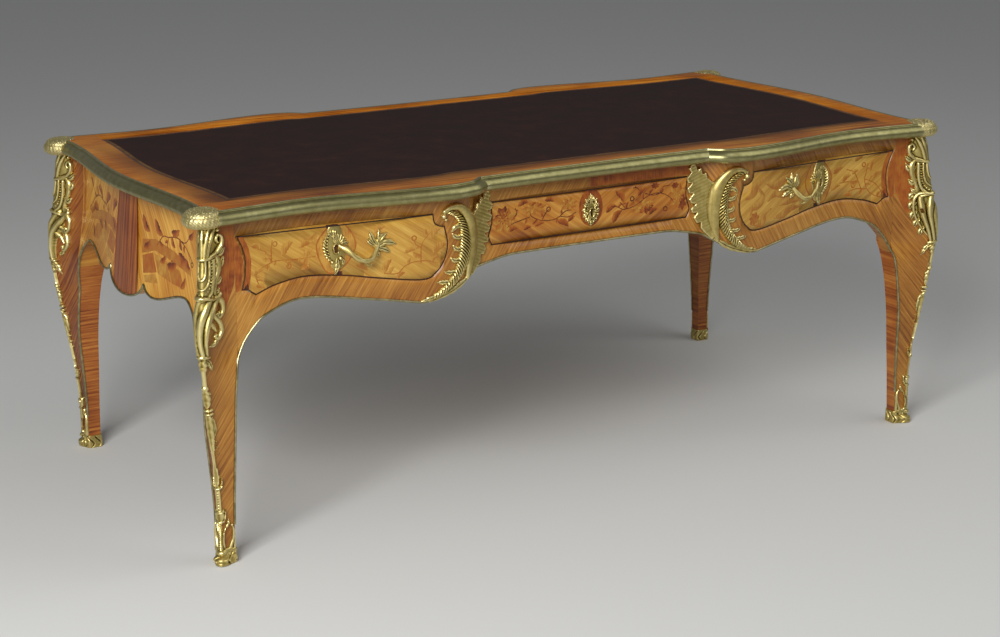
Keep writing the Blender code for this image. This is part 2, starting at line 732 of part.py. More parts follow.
def face_slab(name, from_x, to_x, outer, material, inner=None, plane=None):
    """Slab over whole stations of the serpentine face, between two offsets from it or from a flat plane."""
    stations = frieze_stations()
    first = max([i for i, x in enumerate(stations) if x <= from_x], default=0)
    last = min([i for i, x in enumerate(stations) if x >= to_x], default=len(stations) - 1)
    rings = []
    for x in stations[first:last + 1]:
        low = face(x, FACE_FOOT)
        high = face(x, FRIEZE_TOP)
        near_low = plane if inner is None else low + inner
        near_high = plane if inner is None else high + inner
        rings.append([(x, near_low, FACE_FOOT), (x, low + outer, FACE_FOOT),
                      (x, high + outer, FRIEZE_TOP), (x, near_high, FRIEZE_TOP)])
    return loft(name, rings, material, twisted=True)


def frieze_blank(name, material):
    """Serpentine slab with a flat inner plane, cut to its shaped lower edge."""
    blank = face_slab(name, -JOINT_X, JOINT_X, 0.0, material, plane=INNER_DEPTH)
    edge = [(x, apron(x)) for x in frieze_stations()]
    past = JOINT_X + END_THICKNESS
    outline = [(-past, SPRING_Z)] + edge + [(past, SPRING_Z), (past, HEIGHT), (-past, HEIGHT)]
    return carve(blank, through("edge", outline, 0.5 * CENTRE_DEPTH, 2 * SWELL_DEPTH, material), "INTERSECT")


back_frieze = frieze_blank("back_frieze", TULIPWOOD)
front_frieze = mirrored(back_frieze, "front_frieze", 1, -1)
for side, x_sign in DRAWERS:
    shape = drawer_outline(x_sign)
    line = grown(shape, -2 * DRAWER_GAP)
    groove = []
    for outside, inside in zip(shape, line):
        outside_face = face(*outside)
        inside_face = face(*inside)
        groove.append([(outside.x, outside_face - SHAM_DEEP, outside.y),
                       (inside.x, inside_face - SHAM_DEEP, inside.y),
                       (inside.x, inside_face + SHAM_DEEP, inside.y),
                       (outside.x, outside_face + SHAM_DEEP, outside.y)])
    carve(back_frieze, loft("groove", groove, TULIPWOOD, closed=True))
    carve(front_frieze, through("opening", shape, -2 * SWELL_DEPTH, 0.0, TULIPWOOD))


def lock_place(x_sign):
    """Middle of a lock along X, and the depths of its bolt."""
    x = PULL_X * x_sign
    bolt_back = -INNER_DEPTH - 0.004
    return x, bolt_back - BOLT_THICK, bolt_back


for side, x_sign in DRAWERS:
    x, bolt_front, bolt_back = lock_place(x_sign)
    low = (x - 0.5 * BOLT_WIDTH - RUN, bolt_front - RUN, DRAWER_TOP - 0.004)
    high = (x + 0.5 * BOLT_WIDTH + RUN, bolt_back + RUN, DRAWER_TOP + BOLT_THROW + 0.002)
    carve(front_frieze, box("mortise", low, high, TULIPWOOD))


# End aprons

def end_apron():
    """Bulged end board with its lobed lower edge."""
    run = [CUSP_Y * k / 4 for k in range(5)]
    run += [CUSP_Y + (JOINT_Y - CUSP_Y) * k / 11 for k in range(1, 12)]
    rings = []
    for y in mirrored_run(run):
        foot = end_apron_edge(y)
        levels = [foot + (FRIEZE_TOP - foot) * k / 4 for k in range(5)]
        back = plan_end(y) - FRIEZE_SET - END_THICKNESS
        ring = [(back, y, foot)] + [(end_face(y, z), y, z) for z in levels] + [(back, y, FRIEZE_TOP)]
        rings.append(ring)
    return loft("end_apron_right", rings, TULIPWOOD)


end_apron_right = end_apron()
mirrored(end_apron_right, "end_apron_left", -1, 1)


# Partitions and runners inside the carcass

def partition():
    """Divider with a ledge on each side that carries the drawers."""
    outer = PARTITION_INNER + PARTITION_THICKNESS
    inner_ledge = CENTRE_HALF - BOX_INSET - RUNNER_LAP
    outer_ledge = NOTCH_X + BOX_SIDE_ROOM + RUNNER_LAP
    middle_top = CENTRE_FLOOR - GAP
    side_top = SIDE_FLOOR - GAP
    section = [
        (inner_ledge, middle_top - RUNNER_HEIGHT), (outer, middle_top - RUNNER_HEIGHT),
        (outer, side_top - RUNNER_HEIGHT), (outer_ledge, side_top - RUNNER_HEIGHT), (outer_ledge, side_top),
        (outer, side_top), (outer, FRIEZE_TOP), (PARTITION_INNER, FRIEZE_TOP),
        (PARTITION_INNER, middle_top), (inner_ledge, middle_top)]
    if side_top - RUNNER_HEIGHT < middle_top - RUNNER_HEIGHT:
        section[1] = (PARTITION_INNER, middle_top - RUNNER_HEIGHT)
        section[2] = (PARTITION_INNER, side_top - RUNNER_HEIGHT)
    return through("partition_right", section, -INNER_DEPTH + GAP, INNER_DEPTH - GAP, OAK)


partition_right = partition()
mirrored(partition_right, "partition_left", -1, 1)
box_side = SIDE_OUTER - SIDE_WAIST - BOX_SIDE_ROOM
runner_low = (box_side - RUNNER_LAP, -INNER_DEPTH + GAP, SIDE_FLOOR - GAP - RUNNER_HEIGHT)
runner_high = (JOINT_X, INNER_DEPTH - GAP, SIDE_FLOOR - GAP)
runner_right = box("runner_right", runner_low, runner_high, OAK)
mirrored(runner_right, "runner_left", -1, 1)


# Cast mounts on the serpentine face, built facing +Y on the +X side

def below_face(from_x, to_x):
    """Cutter that takes a mount back to its seat on the face."""
    return face_slab("seat", from_x, to_x, SEAT, BRASS, inner=-SEAT_DEEP)


def applique(name, outline, thickness):
    """Flat casting with a given outline, bent to the serpentine face."""
    xs = [p[0] for p in outline]
    plate = through(name, outline, 0.5 * CENTRE_DEPTH, 2 * SWELL_DEPTH, BRASS)
    skin = face_slab("skin", min(xs), max(xs), SEAT + thickness, BRASS, inner=SEAT)
    return carve(plate, skin, "INTERSECT")


def on_face(points):
    """Places on the face, given as X, Z and stand-off."""
    return [(x, face(x, z) + off, z) for x, z, off in points]


def acanthus():
    """Big leaf over the break: a broad serrated blade, a rounded spine, a hook above and a tail below."""
    top = HEIGHT - 0.037
    back = BREAK_X + 0.040
    blade_left = []
    teeth = 5
    for k in range(2 * teeth + 1):
        z = top - 0.018 - 0.145 * k / (2 * teeth)
        lean = 0.010 * (k / (2 * teeth)) ** 3
        blade_left.append((BREAK_X - (0.033 if k % 2 else 0.022) + 2.2 * lean, z))
    tip = HEIGHT - APRON_TIP_DROP
    tail_low = [(BREAK_X + 0.012, HEIGHT - 0.216), (APRON_TIP_X - 0.045, tip + 0.009),
                (APRON_TIP_X, tip - 0.006), (APRON_TIP_X + 0.012, tip)]
    tail_high = [(APRON_TIP_X - 0.018, tip + 0.021), (back + 0.048, HEIGHT - 0.224), (back + 0.024, HEIGHT - 0.185),
                 (back + 0.015, HEIGHT - 0.135), (back + 0.020, HEIGHT - 0.094), (back + 0.040, HEIGHT - 0.076)]
    hook = [(NOTCH_X - 0.012, HEIGHT - 0.077), (NOTCH_X - 0.002, HEIGHT - 0.068), (NOTCH_X - 0.006, HEIGHT - 0.056),
            (back + 0.050, HEIGHT - 0.051), (back + 0.012, HEIGHT - 0.060), (back - 0.004, HEIGHT - 0.044)]
    outline = [(BREAK_X - 0.015, top)] + blade_left + tail_low + tail_high + hook + [(BREAK_X + 0.014, top - 0.004)]
    leaf = applique("acanthus", outline, 0.006)
    spine = on_face([
        (NOTCH_X - 0.008, HEIGHT - 0.066, 0.006), (back + 0.040, HEIGHT - 0.063, 0.008),
        (back + 0.010, HEIGHT - 0.085, 0.009), (back, HEIGHT - 0.135, 0.010), (back + 0.012, HEIGHT - 0.190, 0.009),
        (back + 0.050, HEIGHT - 0.236, 0.007), (APRON_TIP_X, tip - 0.001, 0.004)])
    carve(leaf, tube("spine", spine, (0.006, 0.007, 0.008, 0.010, 0.009, 0.007, 0.004), BRASS, 2), "UNION")
    return carve(leaf, below_face(BREAK_X - 0.06, NOTCH_X + 0.06))


at_corners("acanthus", acanthus())


def cartouche(x, wide, high, lobes):
    """Scalloped oval outline of a keyhole plate."""
    ring = []
    count = 3 * lobes
    for k in range(count):
        angle = 2 * math.pi * k / count
        reach = 1.0 + 0.09 * math.cos(lobes * angle)
        ring.append((x + 0.46 * wide * reach * math.cos(angle), KEYHOLE_Z + 0.46 * high * reach * math.sin(angle)))
    return ring


def keyhole_plate(name, x, wide, high, thickness):
    """Keyhole plate with its keyhole cut through."""
    plate = applique(name, cartouche(x, wide, high, 8), thickness)
    return carve(plate, through("key", keyhole(x), 0.0, 2 * SWELL_DEPTH, BRASS))


def pull(name):
    """Keyhole plate with a branch handle that stands off and ends in a leaf spray, for the +X side."""
    casting = keyhole_plate(name, PULL_X, PLATE_WIDTH, PLATE_HEIGHT, PLATE_THICK)
    end = PULL_X - HANDLE_REACH
    spray = []
    leaves = 5
    for k in range(4 * leaves):
        angle = 2 * math.pi * k / (4 * leaves)
        reach = SPRAY_RADIUS * (0.45 + 0.55 * abs(math.cos(0.5 * leaves * angle)))
        spray.append((end - SPRAY_SHIFT - reach * math.cos(angle), KEYHOLE_Z + 0.8 * reach * math.sin(angle)))
    carve(casting, applique("spray", spray, PLATE_THICK), "UNION")
    start = PULL_X - 0.36 * PLATE_WIDTH
    middle = 0.5 * (start + end) - 0.006
    branch = on_face([
        (start, KEYHOLE_Z + 0.001, 0.6 * PLATE_THICK), (start - 0.010, KEYHOLE_Z - 0.004, 0.7 * HANDLE_STAND),
        (middle + 0.018, KEYHOLE_Z - 0.7 * HANDLE_DROP, HANDLE_STAND), (middle, KEYHOLE_Z - HANDLE_DROP, HANDLE_STAND),
        (middle - 0.019, KEYHOLE_Z - 0.7 * HANDLE_DROP, 0.8 * HANDLE_STAND),
        (end, KEYHOLE_Z - 0.008, 0.6 * PLATE_THICK)])
    carve(casting, tube("branch", branch, [HANDLE_RADIUS] * 6, BRASS, 3, 6), "UNION")
    return carve(casting, below_face(end - 0.06, PULL_X + 0.06))


sham_pull = pull("sham_pull_right")
mirrored(sham_pull, "sham_pull_left", -1, 1)
mirrored(sham_pull, "pull_right", 1, -1)
mirrored(sham_pull, "pull_left", -1, -1)
sham_escutcheon = keyhole_plate("sham_escutcheon", 0.0, OVAL_WIDTH, OVAL_HEIGHT, PLATE_THICK)
mirrored(sham_escutcheon, "escutcheon_centre", 1, -1)


# Drawers: shaped front, dovetailed box, bottom board, lock and bolt

def drawer_front(side, x_sign):
    """Shaped front with a keyhole and a pocket for the lock."""
    outline = grown(drawer_outline(x_sign), -DRAWER_GAP)
    front = through(f"drawer_front_{side}", outline, 0.5 * CENTRE_DEPTH, 2 * SWELL_DEPTH, MARQUETRY)
    xs = [p.x for p in outline]
    carve(front, face_slab("face", min(xs), max(xs), 0.0, MARQUETRY, plane=INNER_DEPTH + 2 * SEAT), "INTERSECT")
    x, _, _ = lock_place(x_sign)
    carve(front, through("key", keyhole(x), 0.0, 2 * SWELL_DEPTH, MARQUETRY))
    half = 0.5 * LOCK_WIDTH + GAP
    pocket = box("pocket", (x - half, 0.5 * CENTRE_DEPTH, lock_foot() - GAP),
                 (x + half, INNER_DEPTH + 0.004 + LOCK_DEEP + GAP, HEIGHT), MARQUETRY)
    carve(front, pocket)
    front.data.transform(Matrix.Diagonal((1.0, -1.0, 1.0, 1.0)))
    front.data.flip_normals()
    return front


def lock_foot():
    """Lower end of a lock, whose upper end is flush with the top of the front."""
    return DRAWER_TOP - DRAWER_GAP - LOCK_HEIGHT


def lock(side, x_sign):
    """Lock case, a channel closed at its foot, and the bolt that slides up in it."""
    x, bolt_front, bolt_back = lock_place(x_sign)
    foot = lock_foot()
    head = DRAWER_TOP - DRAWER_GAP
    near = -INNER_DEPTH - 2 * SEAT
    far = bolt_back - LOCK_DEEP
    case = box(f"lock_case_{side}", (x - 0.5 * LOCK_WIDTH, far, foot), (x + 0.5 * LOCK_WIDTH, near, head), STEEL)
    half = 0.5 * BOLT_WIDTH
    carve(case, box("channel", (x - half - RUN, bolt_front - RUN, foot + 0.016),
                    (x + half + RUN, bolt_back + RUN, head + 0.01), STEEL))
    bolt = box(f"lock_bolt_{side}", (x - half, bolt_front, foot + 0.016 + GAP), (x + half, bolt_back, head), STEEL)
    return case, bolt


def drawer_box(side, x_sign):
    """Sides and back in one, and the bottom board between them."""
    if x_sign:
        low_x, high_x, floor = NOTCH_X + BOX_SIDE_ROOM, box_side, SIDE_FLOOR
    else:
        low_x, high_x, floor = -CENTRE_HALF + BOX_INSET, CENTRE_HALF - BOX_INSET, CENTRE_FLOOR
    near = GAP - INNER_DEPTH - 2 * SEAT
    far = near + BOX_LENGTH
    wall = BOX_WALL
    plan_shape = [
        (low_x, near), (low_x + wall, near), (low_x + wall, far - wall), (high_x - wall, far - wall),
        (high_x - wall, near), (high_x, near), (high_x, far), (low_x, far)]
    sides = upright(f"drawer_box_{side}", plan_shape, floor, BOX_TOP, OAK)
    board_low = (low_x + wall + GAP, near, floor + GAP)
    board_high = (high_x - wall - GAP, far - wall - GAP, floor + GAP + BOTTOM_THICKNESS)
    board = box(f"drawer_bottom_{side}", board_low, board_high, OAK)
    if x_sign < 0:
        for piece in (sides, board):
            piece.data.transform(Matrix.Diagonal((-1.0, 1.0, 1.0, 1.0)))
            piece.data.flip_normals()
    return sides, board


def carried(piece, carrier):
    """Hang a piece on an empty, with its own origin there."""
    piece.data.transform(Matrix.Translation(-carrier.location))
    piece.parent = carrier


for side, x_sign in DRAWERS:
    x, bolt_front, bolt_back = lock_place(x_sign)
    slide = bpy.data.objects.new(f"drawer_slide_{side}", None)
    slide.location = (x, -face(x, KEYHOLE_Z), 0.5 * (SIDE_FLOOR + BOX_TOP))
    bpy.context.scene.collection.objects.link(slide)
    case, bolt = lock(side, x_sign)
    mount = bpy.data.objects["escutcheon_centre" if x_sign == 0 else f"pull_{side}"]
    for piece in (drawer_front(side, x_sign), *drawer_box(side, x_sign), case, bolt, mount):
        carried(piece, slide)
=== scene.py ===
"""A serpentine writing table: tulipwood veneer, floral marquetry, a leather top and gilt brass mounts.

Metres, +Z up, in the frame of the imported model. The drawers face -Y. Corner pieces are modelled at the
+X, +Y corner and mirrored to the other three.
"""
import json
import math

import bpy
import numpy as np
from mathutils import Matrix

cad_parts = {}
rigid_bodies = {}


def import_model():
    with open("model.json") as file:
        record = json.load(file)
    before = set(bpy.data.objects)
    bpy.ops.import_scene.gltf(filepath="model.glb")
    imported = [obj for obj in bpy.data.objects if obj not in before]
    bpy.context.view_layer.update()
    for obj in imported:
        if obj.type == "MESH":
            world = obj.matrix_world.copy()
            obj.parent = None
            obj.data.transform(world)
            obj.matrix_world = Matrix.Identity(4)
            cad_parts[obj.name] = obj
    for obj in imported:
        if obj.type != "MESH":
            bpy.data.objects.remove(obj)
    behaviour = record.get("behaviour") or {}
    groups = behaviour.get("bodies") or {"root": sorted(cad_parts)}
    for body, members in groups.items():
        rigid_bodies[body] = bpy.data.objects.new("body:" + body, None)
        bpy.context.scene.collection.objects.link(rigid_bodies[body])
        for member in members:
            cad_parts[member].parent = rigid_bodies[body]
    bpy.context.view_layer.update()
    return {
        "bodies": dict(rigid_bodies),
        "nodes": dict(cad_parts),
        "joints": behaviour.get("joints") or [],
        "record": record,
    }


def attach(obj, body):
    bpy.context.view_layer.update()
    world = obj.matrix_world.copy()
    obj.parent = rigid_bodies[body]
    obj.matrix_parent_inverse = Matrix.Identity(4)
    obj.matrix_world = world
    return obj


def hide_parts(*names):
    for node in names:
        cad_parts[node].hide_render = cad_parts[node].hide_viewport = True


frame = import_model()


# Legs
# Four cabriole legs in oak, each also the corner post of the frieze. Tulipwood is laid on the slant on
# the two outer faces and across on the two inner ones, then polished with shellac.
HEIGHT = 0.785
FRIEZE_TOP = HEIGHT - 0.0333
SPRING_Z = HEIGHT - 0.307
KNEE_Z = HEIGHT - 0.295
LEG_X, LEG_Y = 0.940, 0.456
LEG_FOOT, ANKLE = 0.006, 0.10
JOINT_X, JOINT_Y = 0.882, 0.393
FRIEZE_SET = 0.018
BREAK_X = 0.305
CORNERS = (("front_left", -1, -1), ("front_right", 1, -1), ("back_left", -1, 1), ("back_right", 1, 1))


def smooth(*knots):
    """Curve through (position, value) knots that never overshoots between them."""
    places, values = np.array(knots, float).T
    steps = np.diff(values) / np.diff(places)
    bends = steps[:-1] * steps[1:]
    slopes = np.where(bends > 0, 2 * bends / np.where(bends > 0, steps[:-1] + steps[1:], 1.0), 0.0)
    slopes = np.concatenate([steps[:1], slopes, steps[-1:]])

    def value(position):
        position = np.clip(position, places[0], places[-1])
        i = np.clip(np.searchsorted(places, position) - 1, 0, len(steps) - 1)
        span = places[i + 1] - places[i]
        t = (position - places[i]) / span
        start = values[i] * (1 + 2 * t) * (1 - t) ** 2 + slopes[i] * span * t * (1 - t) ** 2
        return start + values[i + 1] * t * t * (3 - 2 * t) + slopes[i + 1] * span * t * t * (t - 1)

    return value


plan_side = smooth((BREAK_X, 0.466), (0.341, 0.496), (0.395, 0.506), (0.735, 0.462), (0.912, 0.477))
plan_half_end = smooth((-0.385, 0.9395), (0.0, 0.966), (0.385, 0.9395), (0.440, 0.9425))


def plan(x):
    """Half depth of the wooden top."""
    x = np.abs(x)
    return np.where(x <= BREAK_X, 0.459 + 0.007 * (x / BREAK_X) ** 2, plan_side(x))


def plan_end(y):
    """Half length of the wooden top."""
    return plan_half_end(np.abs(y))


def face(x, z):
    """Half depth of the frieze's outer face, whose swell dies away downwards."""
    return 0.462 - FRIEZE_SET + (plan(x) - 0.462) * (1 - 0.43 * (FRIEZE_TOP - z) / 0.234)


def end_face(y, z):
    """Half length of the end apron's outer face, which swells towards its lower edge."""
    share = np.clip((FRIEZE_TOP - z) / 0.244, 0.0, 1.0)
    return plan_end(y) - FRIEZE_SET + 0.028 * share ** 2


leg_bow = smooth((0.0, 0.005), (ANKLE, 0.004), (0.20, 0.009), (0.30, 0.0215), (0.40, 0.033),
                 (KNEE_Z, 0.0395),
                 (KNEE_Z + 0.07, 0.035), (FRIEZE_TOP, 0.012))
FREE_WIDTH = ((0.0, 0.033), (ANKLE, 0.0345), (0.20, 0.043), (0.30, 0.059), (0.38, 0.0745), (0.43, 0.0855))
FREE_DISH = ((0.0, 0.003), (ANKLE, 0.003), (0.20, 0.004), (0.30, 0.0105), (0.38, 0.0225), (0.43, 0.030))
spring_bow = float(leg_bow(SPRING_Z))
front_width = smooth(*FREE_WIDTH, (SPRING_Z, LEG_X + spring_bow - JOINT_X))
end_width = smooth(*FREE_WIDTH, (SPRING_Z, LEG_Y + spring_bow - JOINT_Y))
front_dish = smooth(*FREE_DISH, (SPRING_Z, LEG_Y + spring_bow - float(face(JOINT_X, SPRING_Z))))
end_dish = smooth(*FREE_DISH, (SPRING_Z, LEG_X + spring_bow - float(end_face(JOINT_Y, SPRING_Z))))


def leg_section(z):
    """Arris, front inner edge and end inner edge of the leg at a height, as X and Y arrays."""
    bow = leg_bow(z)
    post = z >= SPRING_Z
    arris = np.stack([LEG_X + bow, LEG_Y + bow], -1)
    front = np.stack([np.where(post, JOINT_X + 0.0003, arris[..., 0] - front_width(z)),
                      np.where(post, face(JOINT_X, z), arris[..., 1] - front_dish(z))], -1)
    end = np.stack([np.where(post, end_face(JOINT_Y, z), arris[..., 0] - end_dish(z)),
                    np.where(post, JOINT_Y + 0.0003, arris[..., 1] - end_width(z))], -1)
    return arris, front, end


def dished(arris, edge, share, deep):
    """Point on an outer face between the arris and its inner edge; deep is the dished axis."""
    middle = 0.5 * (arris + edge)
    middle[..., deep] = arris[..., deep] - 0.6 * (arris[..., deep] - edge[..., deep])
    pull = 2 * middle - 0.5 * (arris + edge)
    share = share[..., None]
    return (1 - share) ** 2 * arris + 2 * share * (1 - share) * pull + share ** 2 * edge


def colour(code):
    """Linear colour of an sRGB hex value."""
    parts = [int(code[i:i + 2], 16) / 255 for i in (1, 3, 5)]
    return [p / 12.92 if p <= 0.04045 else ((p + 0.055) / 1.055) ** 2.4 for p in parts] + [1.0]


def node(tree, kind, inputs=(), **settings):
    """Add a node with its settings and with its inputs set or linked."""
    made = tree.nodes.new(kind)
    for name, value in settings.items():
        setattr(made, name, value)
    for name, value in dict(inputs).items():
        if isinstance(value, bpy.types.NodeSocket):
            tree.links.new(value, made.inputs[name])
        else:
            made.inputs[name].default_value = value
    return made


def shades(tree, factor, codes):
    """Colour ramp through evenly spaced hex colours."""
    ramp = node(tree, "ShaderNodeValToRGB", {"Fac": factor})
    stops = ramp.color_ramp.elements
    while len(stops) < len(codes):
        stops.new(0.5)
    for i, code in enumerate(codes):
        stops[i].position = i / (len(codes) - 1)
        stops[i].color = colour(code)
    return ramp.outputs["Color"]


def veneer(name, codes, streak=0.005, contrast=1.0):
    """Sawn tulipwood under shellac: straight streaks along the grain from gold to red-brown, fine pores
    and slow changes of tone. The UV map holds metres across and along the grain."""
    material = bpy.data.materials.new(name)
    material.use_nodes = True
    tree = material.node_tree
    shader = tree.nodes["Principled BSDF"]
    lay = node(tree, "ShaderNodeUVMap", uv_map="UVMap").outputs["UV"]
    place = node(tree, "ShaderNodeTexCoord").outputs["Object"]
    wander = node(tree, "ShaderNodeTexNoise", {"Vector": place, "Scale": 9.0, "Detail": 1.0})
    wave = node(tree, "ShaderNodeVectorMath", {0: wander.outputs["Color"], "Scale": 0.006},
                operation="SCALE")
    lay = node(tree, "ShaderNodeVectorMath", {0: lay, 1: wave.outputs[0]}, operation="ADD").outputs[0]
    broad = node(tree, "ShaderNodeMapping", {"Vector": lay, "Scale": (1 / streak, 1 / (50 * streak), 1.0)})
    broad = node(tree, "ShaderNodeTexNoise",
                 {"Vector": broad.outputs[0], "Scale": 1.0, "Detail": 4.0, "Roughness": 0.62})
    pores = node(tree, "ShaderNodeMapping", {"Vector": lay, "Scale": (1 / 0.0012, 1 / 0.03, 1.0)})
    pores = node(tree, "ShaderNodeTexNoise", {"Vector": pores.outputs[0], "Scale": 1.0, "Detail": 2.0})
    tone = node(tree, "ShaderNodeTexNoise", {"Vector": place, "Scale": 5.0, "Detail": 2.0})
    mixed = node(tree, "ShaderNodeMath", {0: tone.outputs["Fac"], 1: 1.2, 2: -0.45 - 1.3 * contrast},
                 operation="MULTIPLY_ADD")
    mixed = node(tree, "ShaderNodeMath", {0: pores.outputs["Fac"], 1: 0.7, 2: mixed.outputs[0]},
                 operation="MULTIPLY_ADD")
    mixed = node(tree, "ShaderNodeMath", {0: broad.outputs["Fac"], 1: 2.6 * contrast, 2: mixed.outputs[0]},
                 operation="MULTIPLY_ADD", use_clamp=True)
    tree.links.new(shades(tree, mixed.outputs[0], codes), shader.inputs["Base Color"])
    gloss = node(tree, "ShaderNodeMapRange", {"Value": pores.outputs["Fac"], "To Min": 0.26, "To Max": 0.42})
    tree.links.new(gloss.outputs["Result"], shader.inputs["Roughness"])
    bump = node(tree, "ShaderNodeBump", {"Height": pores.outputs["Fac"], "Strength": 0.06,
                                         "Distance": 0.0004})
    tree.links.new(bump.outputs["Normal"], shader.inputs["Normal"])
    shader.inputs["Specular IOR Level"].default_value = 0.36
    shader.inputs["Coat Weight"].default_value = 0.10
    shader.inputs["Coat Roughness"].default_value = 0.14
    return material


TULIPWOOD = veneer("tulipwood_slant", ("#63330f", "#8f5a20", "#ab7630", "#bf9044"), 0.005, 0.62)
RED_TULIPWOOD = veneer("tulipwood_red", ("#431709", "#6f3313", "#8c5220", "#a36c2c"), 0.006, 0.9)
BANDING = veneer("tulipwood_crossband", ("#56200c", "#8c4a1a", "#a86628", "#b87e38"), 0.006, 0.8)
# Near-black veneer: painted shade in the lines for the sham grooves and drawer gaps, and the dark line let
# in round the leather.
SHADE_AND_STRINGING_DARK = veneer("shade_lines_and_dark_stringing", ("#1c0a04", "#2a1006", "#381808", "#46200c"), 0.008)


def sheet(name, columns, rows, place, grain=None):
    """Grid of faces whose corners go where place says from their shares across and up; grain gives the
    UV map, in metres across and along the grain, from the corners' positions."""
    bpy.ops.object.select_all(action="DESELECT")
    bpy.ops.mesh.primitive_grid_add(x_subdivisions=columns, y_subdivisions=rows, size=1)
    piece = bpy.context.object
    piece.name = piece.data.name = name
    mesh = piece.data
    flat = np.empty(3 * len(mesh.vertices))
    mesh.vertices.foreach_get("co", flat)
    u, v = flat.reshape(-1, 3)[:, :2].T + 0.5
    spots = np.stack(np.broadcast_arrays(*place(u, v)), -1).astype(float)
    mesh.vertices.foreach_set("co", spots.ravel())
    if grain:
        lay_grain(piece, grain)
    mesh.update()
    return piece


def lay_grain(piece, grain):
    """Set the UV map from the corners' positions."""
    mesh = piece.data
    spots = np.empty(3 * len(mesh.vertices))
    mesh.vertices.foreach_get("co", spots)
    lay = np.stack(np.broadcast_arrays(*grain(*spots.reshape(-1, 3).T)), -1)
    corners = np.empty(len(mesh.loops), int)
    mesh.loops.foreach_get("vertex_index", corners)
    chart = mesh.uv_layers.active or mesh.uv_layers.new(name="UVMap")
    chart.uv.foreach_set("vector", lay[corners].astype(np.float32).ravel())


def slant(degrees, axis=0):
    """Grain that climbs at an angle from the X axis, or from the Y axis when axis is 1."""
    c, s = math.cos(math.radians(degrees)), math.sin(math.radians(degrees))
    return lambda *p: (p[axis] * -s + p[2] * c, p[axis] * c + p[2] * s)


def closed(piece, angle=30):
    """Merge doubles, fill the ends, face outwards and smooth the flatter edges."""
    bpy.ops.object.select_all(action="DESELECT")
    piece.select_set(True)
    bpy.context.view_layer.objects.active = piece
    bpy.ops.object.mode_set(mode="EDIT")
    bpy.ops.mesh.select_all(action="SELECT")
    bpy.ops.mesh.remove_doubles(threshold=0.00002)
    bpy.ops.mesh.fill_holes(sides=0)
    bpy.ops.mesh.normals_make_consistent(inside=False)
    bpy.ops.object.mode_set(mode="OBJECT")
    bpy.ops.object.shade_smooth_by_angle(angle=math.radians(angle))
    return piece


def joined(name, pieces):
    """Join pieces into one object."""
    bpy.ops.object.select_all(action="DESELECT")
    for piece in pieces:
        piece.select_set(True)
    bpy.context.view_layer.objects.active = pieces[0]
    bpy.ops.object.join()
    pieces[0].name = pieces[0].data.name = name
    return pieces[0]


def painted(piece, *materials):
    """Give a piece its materials."""
    piece.data.materials.clear()
    for material in materials:
        piece.data.materials.append(material)
    return piece


def mirrored(source, name, x_sign, y_sign):
    """Copy of a piece on another side of the table, with its own mesh."""
    copy = source.copy()
    copy.data = source.data.copy()
    copy.name = copy.data.name = name
    bpy.context.scene.collection.objects.link(copy)
    copy.data.transform(Matrix.Diagonal((x_sign, y_sign, 1.0, 1.0)))
    if x_sign * y_sign < 0:
        copy.data.flip_normals()
    return copy


def fitted(piece, body, slot, *nodes):
    """Let a piece ride on a body and stand for its CAD nodes; the slot is not used."""
    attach(piece, body)
    if nodes:
        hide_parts(*nodes)


def at_corners(source, name, slot, node_name=None):
    """Four mirrored pieces in place of the source."""
    for corner, x_sign, y_sign in CORNERS:
        piece = mirrored(source, f"{name}_{corner}", x_sign, y_sign)
        fitted(piece, "carcass", slot, *([f"{node_name}_{corner}"] if node_name else []))
    bpy.data.objects.remove(source, do_unlink=True)


def leg_height(v):
    return LEG_FOOT + (FRIEZE_TOP - LEG_FOOT) * v


def leg_front(u, v):
    arris, front, _ = leg_section(leg_height(v))
    return (*dished(arris, front, u, 1).T, leg_height(v))


def leg_end(u, v):
    arris, _, end = leg_section(leg_height(v))
    return (*dished(arris, end, u, 0).T, leg_height(v))


def leg_inner_front(u, v):
    _, front, end = leg_section(leg_height(v))
    return front[:, 0], front[:, 1] + (end[:, 1] - front[:, 1]) * u, leg_height(v)


def leg_inner_end(u, v):
    _, front, end = leg_section(leg_height(v))
    return end[:, 0] + (front[:, 0] - end[:, 0]) * u, end[:, 1], leg_height(v)


leg_faces = [
    sheet("leg_front", 10, 120, leg_front, slant(128)),
    sheet("leg_end", 10, 120, leg_end, slant(128, 1)),
    sheet("leg_inner_front", 4, 120, leg_inner_front, lambda x, y, z: (z, y)),
    sheet("leg_inner_end", 4, 120, leg_inner_end, lambda x, y, z: (z, x))]
for leg_face, material in zip(leg_faces, (TULIPWOOD, RED_TULIPWOOD, BANDING, BANDING)):
    painted(leg_face, material)
at_corners(closed(joined("leg", leg_faces), 25), "table_leg", "tulipwood_veneer", "leg")


# Front and back friezes
# Serpentine boards in oak with a shaped lower edge, veneered with tulipwood on the slant. The front one is
# cut through for three drawers, and the back one has three sham drawers outlined by a scratched groove,
# drawn here as a dark line of painted shade on the face.
INNER_DEPTH = 0.418
TIP_X, ARCH_X = 0.4445, 0.73
DRAWER_TOP = HEIGHT - 0.065
apron_centre = smooth((-0.2, 0.191), (0.2, 0.191), (BREAK_X, 0.208))
apron_inner = smooth((BREAK_X, 0.208), (0.345, 0.232), (TIP_X, 0.267))
apron_outer = smooth((TIP_X, 0.267), (0.5645, 0.2445), (ARCH_X, 0.222), (0.819, 0.2475), (0.850, 0.275),
                     (0.870, 0.301), (JOINT_X, 0.330))


def apron(x):
    """Height of the frieze's lower edge."""
    x = np.abs(x)
    drop = np.where(x <= BREAK_X, apron_centre(x), np.where(x <= TIP_X, apron_inner(x), apron_outer(x)))
    return HEIGHT - drop


def ring_share(v, rows):
    """Corner weights round a bar's section: up the outer face, back over the top and down the inside."""
    lap = v * (rows + 3)
    up = np.clip(lap / rows, 0, 1) - np.clip(lap - rows - 1, 0, 1)
    out = 1 - np.clip(lap - rows, 0, 1) + np.clip(lap - rows - 2, 0, 1)
    return up, out


